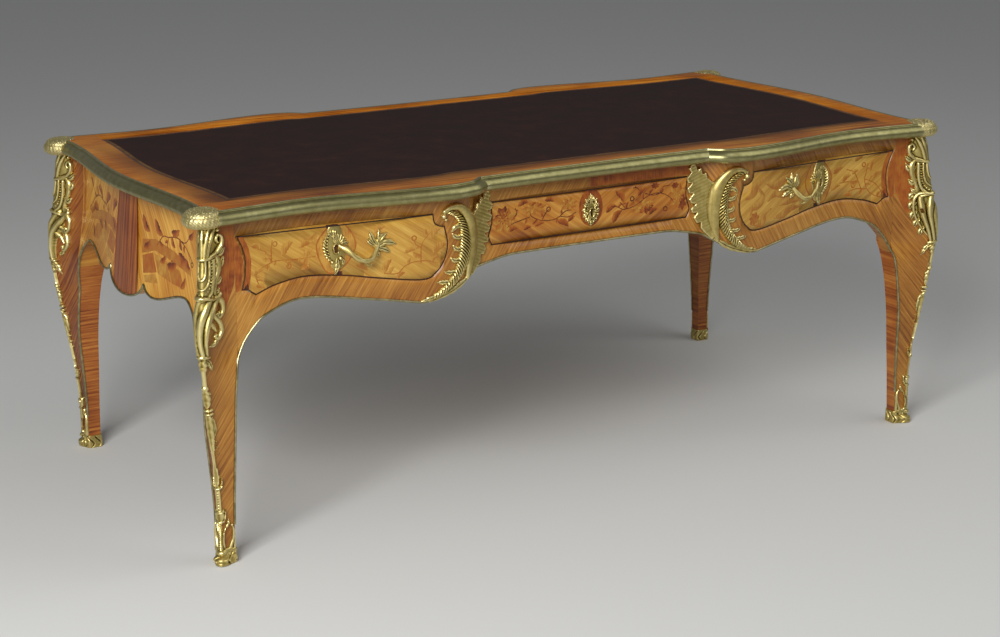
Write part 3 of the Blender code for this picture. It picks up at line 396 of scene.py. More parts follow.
def bent_board(name, start, end, columns, rows, low, inner, outer, high, grain):
    """Board that follows the serpentine face, closed all round."""
    def place(u, v):
        x = start + (end - start) * u
        up, out = ring_share(v, rows)
        z = low(x) + (high - low(x)) * up
        return x, inner + (outer(x, z) - inner) * out, z

    return closed(sheet(name, columns, rows + 3, place, grain))


def spline(points, per_span):
    """Smooth run of points through the given ones."""
    points = np.array(points, float)
    ends = np.vstack([2 * points[0] - points[1], points, 2 * points[-1] - points[-2]])
    t = (np.arange(per_span) / per_span)[:, None]
    run = [0.5 * (2 * b + (c - a) * t + (2 * a - 5 * b + 4 * c - d) * t ** 2
                  + (3 * b - a - 3 * c + d) * t ** 3)
           for a, b, c, d in zip(ends, ends[1:], ends[2:], ends[3:])]
    return np.vstack(run + [points[-1:]])


SIDE_INNER, SIDE_OUTER, NOTCH_X = 0.390, 0.8775, 0.427
CENTRE_HALF, CENTRE_LOW = 0.266, HEIGHT - 0.166


def side_drawer_outline():
    """Outline of the right-hand drawer: arched below, notched round the mount's hook."""
    top = DRAWER_TOP
    ear = (SIDE_OUTER - 0.009, top - 0.120)
    cusp = (SIDE_OUTER - 0.043, top - 0.1355)
    outer = spline([(SIDE_OUTER, top), (SIDE_OUTER - 0.0133, top - 0.030), (SIDE_OUTER - 0.019, top - 0.058),
                    (SIDE_OUTER - 0.0162, top - 0.092), ear], 6)
    ogee = spline([ear, (SIDE_OUTER - 0.022, top - 0.122), cusp], 5)
    lower = spline([
        cusp, (SIDE_OUTER - 0.088, top - 0.121), (ARCH_X - 0.01, top - 0.112), (ARCH_X - 0.10, top - 0.1205),
        (TIP_X + 0.1035, top - 0.1355), (SIDE_INNER + 0.059, top - 0.150), (SIDE_INNER + 0.026, top - 0.136),
        (SIDE_INNER + 0.006, top - 0.107), (SIDE_INNER, top - 0.07), (SIDE_INNER + 0.009, top - 0.031)], 8)
    notch = spline([
        (SIDE_INNER + 0.009, top - 0.031), (NOTCH_X - 0.012, top - 0.027), (NOTCH_X - 0.003, top - 0.018),
        (NOTCH_X, top)], 6)
    return np.vstack([outer[:-1], ogee[:-1], lower[:-1], notch])


def centre_drawer_outline():
    """Outline of the middle drawer, with softly waved sides."""
    right = spline([
        (CENTRE_HALF - 0.003, CENTRE_LOW), (CENTRE_HALF + 0.006, CENTRE_LOW + 0.022),
        (CENTRE_HALF - 0.003, DRAWER_TOP - 0.045), (CENTRE_HALF, DRAWER_TOP)], 8)
    return np.vstack([right, right[::-1] * (-1, 1)])


def drawer_outline(x_sign):
    """Outline of one of the three drawers."""
    if x_sign == 0:
        return centre_drawer_outline()
    return side_drawer_outline() * (x_sign, 1)


def grown(outline, distance):
    """Closed outline moved outwards by a distance; a negative distance moves it in."""
    outline = np.asarray(outline, float)
    after = np.roll(outline, -1, 0)
    turn = np.sign(np.sum(outline[:, 0] * after[:, 1] - after[:, 0] * outline[:, 1]))
    along = (after - outline) / np.linalg.norm(after - outline, axis=1)[:, None]
    out = np.stack([along[:, 1], -along[:, 0]], -1) * turn
    mitre = out + np.roll(out, 1, 0)
    return outline + mitre * (distance / np.maximum(0.35, 0.5 * np.sum(mitre ** 2, 1)))[:, None]


def prism(name, outline, start, end, upright=False):
    """Outline carried from one depth to another, or raised from one height to another."""
    bpy.ops.object.select_all(action="DESELECT")
    bpy.ops.mesh.primitive_circle_add(vertices=len(outline), radius=1, fill_type="NGON")
    piece = bpy.context.object
    piece.name = piece.data.name = name
    lift = np.full(len(outline), float(start))
    across, along = outline.T
    flat = np.stack([across, along, lift] if upright else [across, lift, along], -1)
    piece.data.vertices.foreach_set("co", flat.ravel())
    bpy.ops.object.mode_set(mode="EDIT")
    bpy.ops.mesh.select_all(action="SELECT")
    step = (0, 0, end - start) if upright else (0, end - start, 0)
    bpy.ops.mesh.extrude_region_move(TRANSFORM_OT_translate={"value": step})
    bpy.ops.object.mode_set(mode="OBJECT")
    return closed(piece)


def carved(piece, tool, operation="DIFFERENCE"):
    """Cut one piece with another, which goes."""
    bpy.ops.object.select_all(action="DESELECT")
    bpy.context.view_layer.objects.active = piece
    piece.select_set(True)
    cut = piece.modifiers.new("cut", "BOOLEAN")
    cut.operation = operation
    cut.solver = "EXACT"
    cut.object = tool
    bpy.ops.object.modifier_apply(modifier="cut")
    bpy.data.objects.remove(tool, do_unlink=True)
    return piece


def veneer_slant(x, y, z):
    """Grain of the friezes: it leans towards the middle on either side."""
    lean = math.radians(58)
    across = -np.abs(x) * math.sin(lean) - z * math.cos(lean)
    return across + 3.0 * np.sign(x), -np.abs(x) * math.cos(lean) + z * math.sin(lean)


def frieze(name):
    """Plain serpentine frieze, facing +Y."""
    board = bent_board(name, -JOINT_X, JOINT_X, 360, 6, apron, INNER_DEPTH, face, FRIEZE_TOP, veneer_slant)
    return painted(board, TULIPWOOD)


def ringed(name, edge, inside, spot_of, low, high):
    """Flat ring between two outlines, laid by spot_of(across, up, rise) from a low to a high rise."""
    count = len(edge)

    def place(u, v):
        i = np.rint(u * count).astype(int) % count
        lap = np.rint(v * 4).astype(int) % 4
        spot = np.where(((lap == 1) | (lap == 2))[:, None], inside[i], edge[i])
        return spot_of(spot[:, 0], spot[:, 1], np.where(lap < 2, low, high))

    return closed(sheet(name, count, 4, place))


def painted_shade_line(name, edge, inside):
    """Dark line let into the frieze's face: painted shade where a groove or a drawer's gap falls dark."""
    line = ringed(name, edge, inside, lambda x, z, rise: (x, face(x, z) + rise, z), -0.003, 0.0001)
    lay_grain(line, lambda x, y, z: (z, x))
    return painted(line, SHADE_AND_STRINGING_DARK)


LOCK_X, MORTISE_HALF, MORTISE_LOW, MORTISE_HIGH = 0.648, 0.0105, DRAWER_TOP - 0.004, DRAWER_TOP + 0.0095
MORTISE_FRONT, MORTISE_BACK = -0.4295, -0.4215


def mortise_outline(x):
    """Outline of the slot that a lock's bolt is thrown into."""
    return np.array([(x - MORTISE_HALF, MORTISE_LOW), (x + MORTISE_HALF, MORTISE_LOW),
                     (x + MORTISE_HALF, MORTISE_HIGH), (x - MORTISE_HALF, MORTISE_HIGH)])


back_frieze = frieze("frieze_back")
front_frieze = mirrored(back_frieze, "frieze_front", 1, -1)
for side, x_sign in (("left", -1), ("centre", 0), ("right", 1)):
    line = drawer_outline(x_sign)
    carved(front_frieze, prism("cut", line, -0.6, -0.3))
    carved(front_frieze, prism("mortise", mortise_outline(LOCK_X * x_sign), MORTISE_FRONT, MORTISE_BACK))
    fitted(painted_shade_line(f"sham_line_{side}", line, grown(line, -0.0024)), "carcass", "tulipwood_veneer")
for board, side in ((front_frieze, "front"), (back_frieze, "back")):
    fitted(board, "carcass", "tulipwood_veneer", f"{side}_frieze")


# End aprons
# Bulged oak boards with a round pendant between two cusps. Each is veneered with a red strip of upright
# grain that widens into the pendant, between two golden fields.
CUSP_Y, LOBE_Y, END_ARCH_Y = 0.108, 0.158, 0.31
end_outer = smooth((CUSP_Y, 0.233), (CUSP_Y + 0.02, 0.249), (LOBE_Y, 0.255), (END_ARCH_Y, 0.224),
                   (JOINT_Y - 0.03, 0.250), (JOINT_Y, 0.307))
GOLD_TULIPWOOD = veneer("tulipwood_gold", ("#7e4714", "#a96c24", "#c08834", "#d0a24a"), 0.006, 0.8)
UPRIGHT_RED = veneer("tulipwood_upright", ("#4a1c0a", "#783712", "#92501c", "#a86a28"), 0.009)


def end_apron_edge(y):
    """Height of the end apron's lower edge."""
    y = np.abs(y)
    pendant = 0.233 + 0.044 * np.sqrt(np.clip(1 - (y / CUSP_Y) ** 2, 0, 1))
    return HEIGHT - np.where(y <= CUSP_Y, pendant, end_outer(y))


def end_apron_place(u, v):
    """Section up the bulged face, over the top and down the inside."""
    share = 2 * u - 1
    y = JOINT_Y * np.sign(share) * np.where(np.abs(share) < 0.32, np.abs(share) / 0.32 * CUSP_Y / JOINT_Y,
                                            CUSP_Y / JOINT_Y + (np.abs(share) - 0.32) / 0.68
                                            * (1 - CUSP_Y / JOINT_Y))
    up, out = ring_share(v, 16)
    low = end_apron_edge(y)
    z = low + (FRIEZE_TOP - low) * up
    inner = plan_end(y) - FRIEZE_SET - 0.024
    return inner + (end_face(y, z) - inner) * out, y, z


end_apron = closed(sheet("end_apron", 200, 19, end_apron_place,
                         lambda x, y, z: slant(125, 1)(x, np.abs(y), z)))
painted(end_apron, GOLD_TULIPWOOD)
for side, x_sign in (("left", -1), ("right", 1)):
    fitted(mirrored(end_apron, f"end_board_{side}", x_sign, 1), "carcass", "tulipwood_veneer",
           f"end_apron_{side}")
bpy.data.objects.remove(end_apron, do_unlink=True)


def strip_place(u, v):
    """Strip of upright veneer down the middle of an end, let in at its back."""
    up, out = ring_share(v, 40)
    half = 0.056 + 0.024 * (1 - up) ** 2
    y = half * (2 * u - 1)
    edge = end_apron_edge(y) + 0.0015
    z = edge + (FRIEZE_TOP - 0.001 - edge) * up
    return end_face(y, z) - 0.0005 + 0.0007 * out, y, z


end_strip = painted(closed(sheet("strip", 40, 43, strip_place, lambda x, y, z: (y, z))), UPRIGHT_RED)
for side, x_sign in (("left", -1), ("right", 1)):
    fitted(mirrored(end_strip, f"end_strip_{side}", x_sign, 1), "carcass", "tulipwood_veneer")
bpy.data.objects.remove(end_strip, do_unlink=True)


# Drawers
# Each has a shaped, serpentine front with marquetry on a pale ground, and an oak box behind it with sides,
# back and a thin bottom board.
GROUND = veneer("marquetry_ground", ("#7e5018", "#a4742a", "#ba8e3c", "#cda652"), 0.014, 0.62)
RED_GROUND = veneer("marquetry_red_ground", ("#74390f", "#a0611f", "#b67c30", "#c89846"), 0.014, 0.7)
DRAWERS = (("left", -1), ("centre", 0), ("right", 1))
PULL_X, KEYHOLE_Z = 0.648, HEIGHT - 0.116


def keyhole(x):
    """Round hole over a slot."""
    angles = np.radians(np.linspace(-60, 240, 15))
    ring = np.stack([x + 0.0032 * np.cos(angles), KEYHOLE_Z + 0.0032 * np.sin(angles)], -1)
    return np.vstack([ring, [(x - 0.0020, KEYHOLE_Z - 0.011), (x + 0.0020, KEYHOLE_Z - 0.011)]])


for side, x_sign in DRAWERS:
    outline = grown(drawer_outline(x_sign), -0.0012)
    start, end = outline[:, 0].min() - 0.005, outline[:, 0].max() + 0.005
    front = bent_board(f"marquetry_front_{side}", start, end, 160, 4, lambda x: 0.54 + 0 * x,
                       INNER_DEPTH + 0.0008,
                       face, FRIEZE_TOP, lambda x, y, z: slant(35)(np.abs(x), y, z))
    carved(front, prism("shape", outline, 0.3, 0.7), "INTERSECT")
    carved(front, prism("key", keyhole(PULL_X * x_sign), 0.3, 0.7))
    piece = mirrored(front, f"drawer_face_{side}", 1, -1)
    bpy.data.objects.remove(front, do_unlink=True)
    painted(piece, GROUND if x_sign else RED_GROUND)
    fitted(piece, f"drawer_{side}", "marquetry", f"drawer_front_{side}")
    # A dark line just inside each drawer front's edge: painted shade that widens the dark gap round the
    # drawer.
    line = painted_shade_line("line", outline, grown(outline, -0.0024))
    fitted(mirrored(line, f"drawer_line_{side}", 1, -1), f"drawer_{side}", "marquetry")
    bpy.data.objects.remove(line, do_unlink=True)


# Top
# An oak panel veneered with tulipwood whose grain runs along the table, with a shallow bed for the leather
# and a dark line let in round the bed.
def top_outline():
    """Edge of the wooden top, with its corners cut for the shells."""
    half = np.concatenate([np.linspace(0, BREAK_X, 12), np.linspace(BREAK_X, 0.912, 90)[1:]])
    x = np.concatenate([-half[:0:-1], half])
    y = np.linspace(-0.440, 0.440, 91)
    front = np.stack([x, -plan(x)], -1)
    right = np.stack([plan_end(y), y], -1)
    return np.vstack([front, right, -front, -right])


leather_front = smooth((0.0, 0.399), (0.335, 0.401), (0.380, 0.411), (0.72, 0.388), (0.912, 0.397))


def leather_outline():
    """Edge of the leather, which follows the top with softer breaks."""
    corner_x = 0.9395 - 0.072
    corner_y = float(leather_front(corner_x))
    half = np.linspace(0, corner_x, 120)
    x = np.concatenate([-half[:0:-1], half])
    y = np.linspace(-corner_y, corner_y, 81)[1:-1]
    front = np.stack([x, -leather_front(np.abs(x))], -1)
    right = np.stack([plan_end(y) - 0.072, y], -1)
    return np.vstack([front, right, -front, -right])


TOP_VENEER = veneer("tulipwood_top", ("#5a2a08", "#975314", "#b46e20", "#c88a34"), 0.006, 0.9)
TOP_VENEER.node_tree.nodes["Principled BSDF"].inputs["Specular IOR Level"].default_value = 0.03
TOP_VENEER.node_tree.nodes["Principled BSDF"].inputs["Coat Weight"].default_value = 0.0
top = prism("writing_top", top_outline(), HEIGHT - 0.033, HEIGHT, True)
carved(top, prism("bed", leather_outline(), HEIGHT - 0.0022, HEIGHT + 0.01, True))
lay_grain(top, lambda x, y, z: (y + 0.05 * x, x))
painted(top, TOP_VENEER)
fitted(top, "carcass", "tulipwood_veneer", "top_panel")
border_line = ringed("border_line", grown(leather_outline(), 0.0034), grown(leather_outline(), 0.0006),
                     lambda x, y, rise: (x, y, HEIGHT + rise), -0.0005, 0.0002)
lay_grain(border_line, lambda x, y, z: (y, x))
fitted(painted(border_line, SHADE_AND_STRINGING_DARK), "carcass", "tulipwood_veneer")


# Leather
# One dark red-brown hide glued into the bed, pressed with a fine grain and worn dull, with a narrow tooled
# band along its edge whose gilding has mostly rubbed off.
def hide(name, codes, tooled=0.0):
    """Waxed hide: cloudy dyed colour, a pebbled grain that breaks up its dull sheen and, where tooled,
    crossbars of worn gilding. The band's UV map holds metres across and along it."""
    material = bpy.data.materials.new(name)
    material.use_nodes = True
    tree = material.node_tree
    shader = tree.nodes["Principled BSDF"]
    place = node(tree, "ShaderNodeTexCoord").outputs["Object"]
    cloud = node(tree, "ShaderNodeTexNoise", {"Vector": place, "Scale": 16.0, "Detail": 6.0,
                                              "Roughness": 0.65})
    grain = node(tree, "ShaderNodeTexVoronoi", {"Vector": place, "Scale": 620.0})
    level = node(tree, "ShaderNodeMath", {0: cloud.outputs["Fac"], 1: 1.6, 2: -0.3},
                 operation="MULTIPLY_ADD")
    if tooled:
        lay = node(tree, "ShaderNodeUVMap", uv_map="UVMap").outputs["UV"]
        lay = node(tree, "ShaderNodeMapping", {"Vector": lay, "Scale": (0.0, 1 / tooled, 1.0)}).outputs[0]
        bars = node(tree, "ShaderNodeTexWave", {"Vector": lay, "Scale": 0.32, "Distortion": 0.0},
                    bands_direction="Y")
        level = node(tree, "ShaderNodeMath", {0: bars.outputs["Fac"], 1: level.outputs[0]},
                     operation="MULTIPLY")
    tree.links.new(shades(tree, level.outputs[0], codes), shader.inputs["Base Color"])
    gloss = node(tree, "ShaderNodeMapRange", {"Value": cloud.outputs["Fac"], "To Min": 0.50, "To Max": 0.72})
    tree.links.new(gloss.outputs["Result"], shader.inputs["Roughness"])
    bump = node(tree, "ShaderNodeBump", {"Height": grain.outputs["Distance"], "Strength": 0.25,
                                         "Distance": 0.0003})
    tree.links.new(bump.outputs["Normal"], shader.inputs["Normal"])
    shader.inputs["Specular IOR Level"].default_value = 0.12
    return material


HIDE = hide("waxed_hide", ("#180b08", "#26130f", "#371f17"))
TOOLED_HIDE = hide("tooled_hide", ("#3a2414", "#704e2c", "#b08a52"), 0.004)
leather = prism("writing_leather", grown(leather_outline(), -0.0003), HEIGHT - 0.0019, HEIGHT, True)
fitted(painted(leather, HIDE), "carcass", "dark_leather", "leather_panel")
band = ringed("tooled_band", grown(leather_outline(), -0.0008), grown(leather_outline(), -0.0085),
              lambda x, y, rise: (x, y, HEIGHT + rise), -0.0005, 0.0002)
lay_grain(band, lambda x, y, z: (0 * x, np.where(np.abs(y) > 0.375, x, y)))
fitted(painted(band, TOOLED_HIDE), "carcass", "dark_leather")


# Brass edge
# Cast and drawn brass in eight lengths, screwed to the top's edge: a flat fillet, a small step and a bold
# round below it. The lengths meet in mitres at the breaks and run under the corner shells.
def gilding(name, codes, rough=(0.20, 0.42)):
    """Fire-gilt brass: gold on the high places, with painted highlight on sharp ridges and raised work, dull
    brown painted shade in the hollows, and cloudy between; the high places are also smoother, as burnished.
    Castings have an attribute that is below 0 in their hollows."""
    material = bpy.data.materials.new(name)
    material.use_nodes = True
    tree = material.node_tree
    shader = tree.nodes["Principled BSDF"]
    place = node(tree, "ShaderNodeTexCoord").outputs["Object"]
    worn = node(tree, "ShaderNodeTexNoise", {"Vector": place, "Scale": 60.0, "Detail": 4.0,
                                             "Roughness": 0.6})
    # Painted highlight: sharp ridges, found from Pointiness, are turned paler.
    ridge = node(tree, "ShaderNodeNewGeometry").outputs["Pointiness"]
    ridge = node(tree, "ShaderNodeMapRange", {"Value": ridge, "From Min": 0.40, "From Max": 0.58})
    level = node(tree, "ShaderNodeMath", {0: worn.outputs["Fac"], 1: 0.7, 2: -0.35},
                 operation="MULTIPLY_ADD")
    level = node(tree, "ShaderNodeMath", {0: ridge.outputs["Result"], 1: level.outputs[0]})
    # Painted shade in the castings' hollows and painted highlight on their raised work, from the hollow
    # attribute.
    hollow = node(tree, "ShaderNodeAttribute", attribute_name="hollow").outputs["Fac"]
    level = node(tree, "ShaderNodeMath", {0: hollow, 1: 0.34, 2: level.outputs[0]}, operation="MULTIPLY_ADD",
                 use_clamp=True)
    tree.links.new(shades(tree, level.outputs[0], codes), shader.inputs["Base Color"])
    gloss = node(tree, "ShaderNodeMapRange", {"Value": level.outputs[0], "To Min": rough[1],
                                              "To Max": rough[0]})
    tree.links.new(gloss.outputs["Result"], shader.inputs["Roughness"])
    grit = node(tree, "ShaderNodeTexNoise", {"Vector": place, "Scale": 900.0, "Detail": 2.0})
    bump = node(tree, "ShaderNodeBump", {"Height": grit.outputs["Fac"], "Strength": 0.15,
                                         "Distance": 0.0002})
    tree.links.new(bump.outputs["Normal"], shader.inputs["Normal"])
    shader.inputs["Metallic"].default_value = 1.0
    return material


EDGE_BRASS = gilding("drawn_brass", ("#565030", "#7d774a", "#a09a69", "#c6c092"), (0.34, 0.46))
edge_profile = spline([
    (0.0004, 0.0), (0.0050, 0.0004), (0.0068, 0.0), (0.0076, -0.0030), (0.0092, -0.0044), (0.0128, -0.0052),
    (0.0180, -0.0078), (0.0228, -0.0128), (0.0248, -0.0185), (0.0236, -0.0240), (0.0196, -0.0288),
    (0.0130, -0.0322), (0.0060, -0.0330), (0.0004, -0.0330)], 3)


def edging(name, path, out):
    """Sweep of the edge profile along a path in plan, given the way out at each place."""
    count = len(edge_profile)

    def place(u, v):
        i = np.rint(u * (len(path) - 1)).astype(int)
        k = np.rint(v * count).astype(int) % count
        reach, lift = edge_profile[k].T
        return path[i, 0] + out[i, 0] * reach, path[i, 1] + out[i, 1] * reach, HEIGHT + lift

    return painted(closed(sheet(name, len(path) - 1, count, place), 40), EDGE_BRASS)


def outward(path):
    """Unit vectors square to a path, on its left."""
    along = np.gradient(path, axis=0)
    along /= np.linalg.norm(along, axis=1)[:, None]
    return np.stack([-along[:, 1], along[:, 0]], -1)


side_x = np.concatenate([np.linspace(BREAK_X, 0.40, 60), np.linspace(0.40, 0.930, 124)[1:]])
side_path = np.stack([side_x, plan(side_x)], -1)
middle_x = np.linspace(-BREAK_X, BREAK_X, 81)
middle_path = np.stack([middle_x, plan(middle_x)], -1)
side_out, middle_out = outward(side_path), outward(middle_path)
mitre = side_out[0] + middle_out[-1]
mitre *= 2 / np.sum(mitre ** 2)
side_out[0] = mitre
middle_out[-1], middle_out[0] = mitre, mitre * (-1, 1)
at_corners(edging("side_edge", side_path, side_out), "brass_edge", "gilt_brass", "edge")
middle_edge = edging("middle_edge", middle_path, middle_out)
for side, y_sign in (("front", -1), ("back", 1)):
    fitted(mirrored(middle_edge, f"brass_edge_{side}_centre", 1, y_sign), "carcass", "gilt_brass",
           f"edge_{side}_centre")
bpy.data.objects.remove(middle_edge, do_unlink=True)
end_y = np.linspace(0.440, -0.440, 121)
end_path = np.stack([plan_end(end_y), end_y], -1)
end_edge = edging("end_edge", end_path, outward(end_path))
for side, x_sign in (("left", -1), ("right", 1)):
    fitted(mirrored(end_edge, f"brass_edge_end_{side}", x_sign, 1), "carcass", "gilt_brass",
           f"edge_end_{side}")
bpy.data.objects.remove(end_edge, do_unlink=True)


# Corner shells
# Cast and gilt brass caps over the top's cut corners: a waved rim and a low crown covered with small knobs,
# hollowed underneath to sit on the wood.
# A paler copy of the gilding for the caps: painted light, because they face up to the lamps.
TOP_LIT_GILT = gilding("top_lit_gilt_brass", ("#5c5128", "#a4965e", "#cec088", "#eee4b8"), (0.46, 0.64))


def shell_place(u, v):
    """Skin of the cap from its foot up to the crown; v runs along the section, u round it."""
    angle = 2 * math.pi * u
    section = spline([
        (0.0, -0.0327), (0.72, -0.0327), (0.86, -0.030), (0.965, -0.025), (1.0, -0.0185), (0.985, -0.013),
        (0.94, -0.0098), (0.905, -0.0088), (0.86, -0.0048), (0.76, -0.0008), (0.62, 0.0018), (0.42, 0.0034),
        (0.2, 0.0044), (0.0, 0.0048)], 6)
    along = v * (len(section) - 1)
    share = np.interp(along, np.arange(len(section)), section[:, 0])
    lift = np.interp(along, np.arange(len(section)), section[:, 1])
    crown = along > 48
    lumps = np.zeros(len(share))
    for k in range(240):
        far, turn = 0.95 * math.sqrt((k + 0.5) / 240), 2.39996 * k + 0.5 * math.sin(3.1 * k)
        gap = np.hypot(share * np.cos(angle) - far * math.cos(turn),
                       share * np.sin(angle) - far * math.sin(turn))
        lumps = np.maximum(lumps, (0.4 + 0.15 * ((7 * k) % 5)) * np.exp(-(gap / 0.036) ** 2))
    lift = lift + 0.0023 * lumps * crown
    grain = np.cos(33 * angle + 0.4 * along) * np.cos(0.62 * along) * (along > 12) * (along < 50)
    reach = 0.0440 * share * (1 + 0.008 * np.cos(22 * angle) * (along < 36) + 0.013 * grain)
    return 0.950 + reach * np.cos(angle), 0.4600 + reach * np.sin(angle), HEIGHT - 0.001 + lift


shell = closed(sheet("shell", 224, 91, shell_place), 60)
carved(shell, prism("block", grown(top_outline(), 0.0003), HEIGHT - 0.07, HEIGHT + 0.0003, True))
at_corners(painted(shell, TOP_LIT_GILT), "shell", "gilt_brass", "corner_shell")


# Bead strips
# Thin half-round brass strips pinned along the lower edges of the friezes and ends and down the inner edges
# of the legs, dull with bright worn spots.
STRIP_BRASS = gilding("worn_brass_strip", ("#2e2716", "#554c30", "#7d7450", "#c4bb90"), (0.26, 0.45))


def strip(name, path, out, radius=0.0029):
    """Half-round strip along a path in space, standing out along the given unit vectors."""
    along = np.gradient(path, axis=0)
    along /= np.linalg.norm(along, axis=1)[:, None]
    across = np.cross(along, out)
    across /= np.linalg.norm(across, axis=1)[:, None]
    count = 12

    def place(u, v):
        i = np.rint(u * (len(path) - 1)).astype(int)
        angle = 2 * math.pi * v
        lift = radius * (0.9 * np.sin(angle) + 0.35 * np.sin(angle) ** 2)
        return (path[i] + across[i] * (radius * np.cos(angle))[:, None] + out[i] * lift[:, None]).T

    return painted(closed(sheet(name, len(path) - 1, count, place), 50), STRIP_BRASS)


def unit(vectors):
    return vectors / np.linalg.norm(vectors, axis=1)[:, None]


def eased(path):
    """The same path with its sharp turns rounded a little."""
    path = path.copy()
    for _ in range(5):
        path[1:-1] = 0.25 * path[:-2] + 0.5 * path[1:-1] + 0.25 * path[2:]
    return path


strip_z = np.linspace(0.086, float(apron(JOINT_X)), 120)
leg_run = np.column_stack([leg_section(strip_z)[1], strip_z])
frieze_x = np.concatenate([np.linspace(JOINT_X, TIP_X, 130), np.linspace(TIP_X, BREAK_X, 50)[1:],
                           np.linspace(BREAK_X, 0, 60)[1:]])
frieze_z = apron(frieze_x)
frieze_run = np.column_stack([frieze_x, face(frieze_x, frieze_z), frieze_z])
half_run = eased(np.vstack([leg_run, frieze_run[1:], frieze_run[-2:0:-1] * (-1, 1, 1),
                            leg_run[::-1] * (-1, 1, 1)]))
front_strip = strip("front_strip", half_run, np.tile((0.0, 1.0, 0.0), (len(half_run), 1)))
for side, y_sign in (("front", -1), ("back", 1)):
    fitted(mirrored(front_strip, f"bead_strip_{side}", 1, y_sign), "carcass", "gilt_brass")
bpy.data.objects.remove(front_strip, do_unlink=True)

strip_z = np.linspace(0.086, float(end_apron_edge(JOINT_Y)), 120)
leg_run = np.column_stack([leg_section(strip_z)[2], strip_z])
apron_y = np.concatenate([np.linspace(JOINT_Y, CUSP_Y, 110),
                          CUSP_Y * np.cos(np.linspace(0, math.pi / 2, 40))[1:]])
apron_z = end_apron_edge(apron_y)
apron_run = np.column_stack([end_face(apron_y, apron_z), apron_y, apron_z])
half_run = eased(np.vstack([leg_run, apron_run[1:], apron_run[-2:0:-1] * (1, -1, 1),
                            leg_run[::-1] * (1, -1, 1)]))
end_strip = strip("end_bead", half_run, np.tile((1.0, 0.0, 0.0), (len(half_run), 1)))
for side, x_sign in (("left", -1), ("right", 1)):
    fitted(mirrored(end_strip, f"bead_strip_{side}", x_sign, 1), "carcass", "gilt_brass")
bpy.data.objects.remove(end_strip, do_unlink=True)


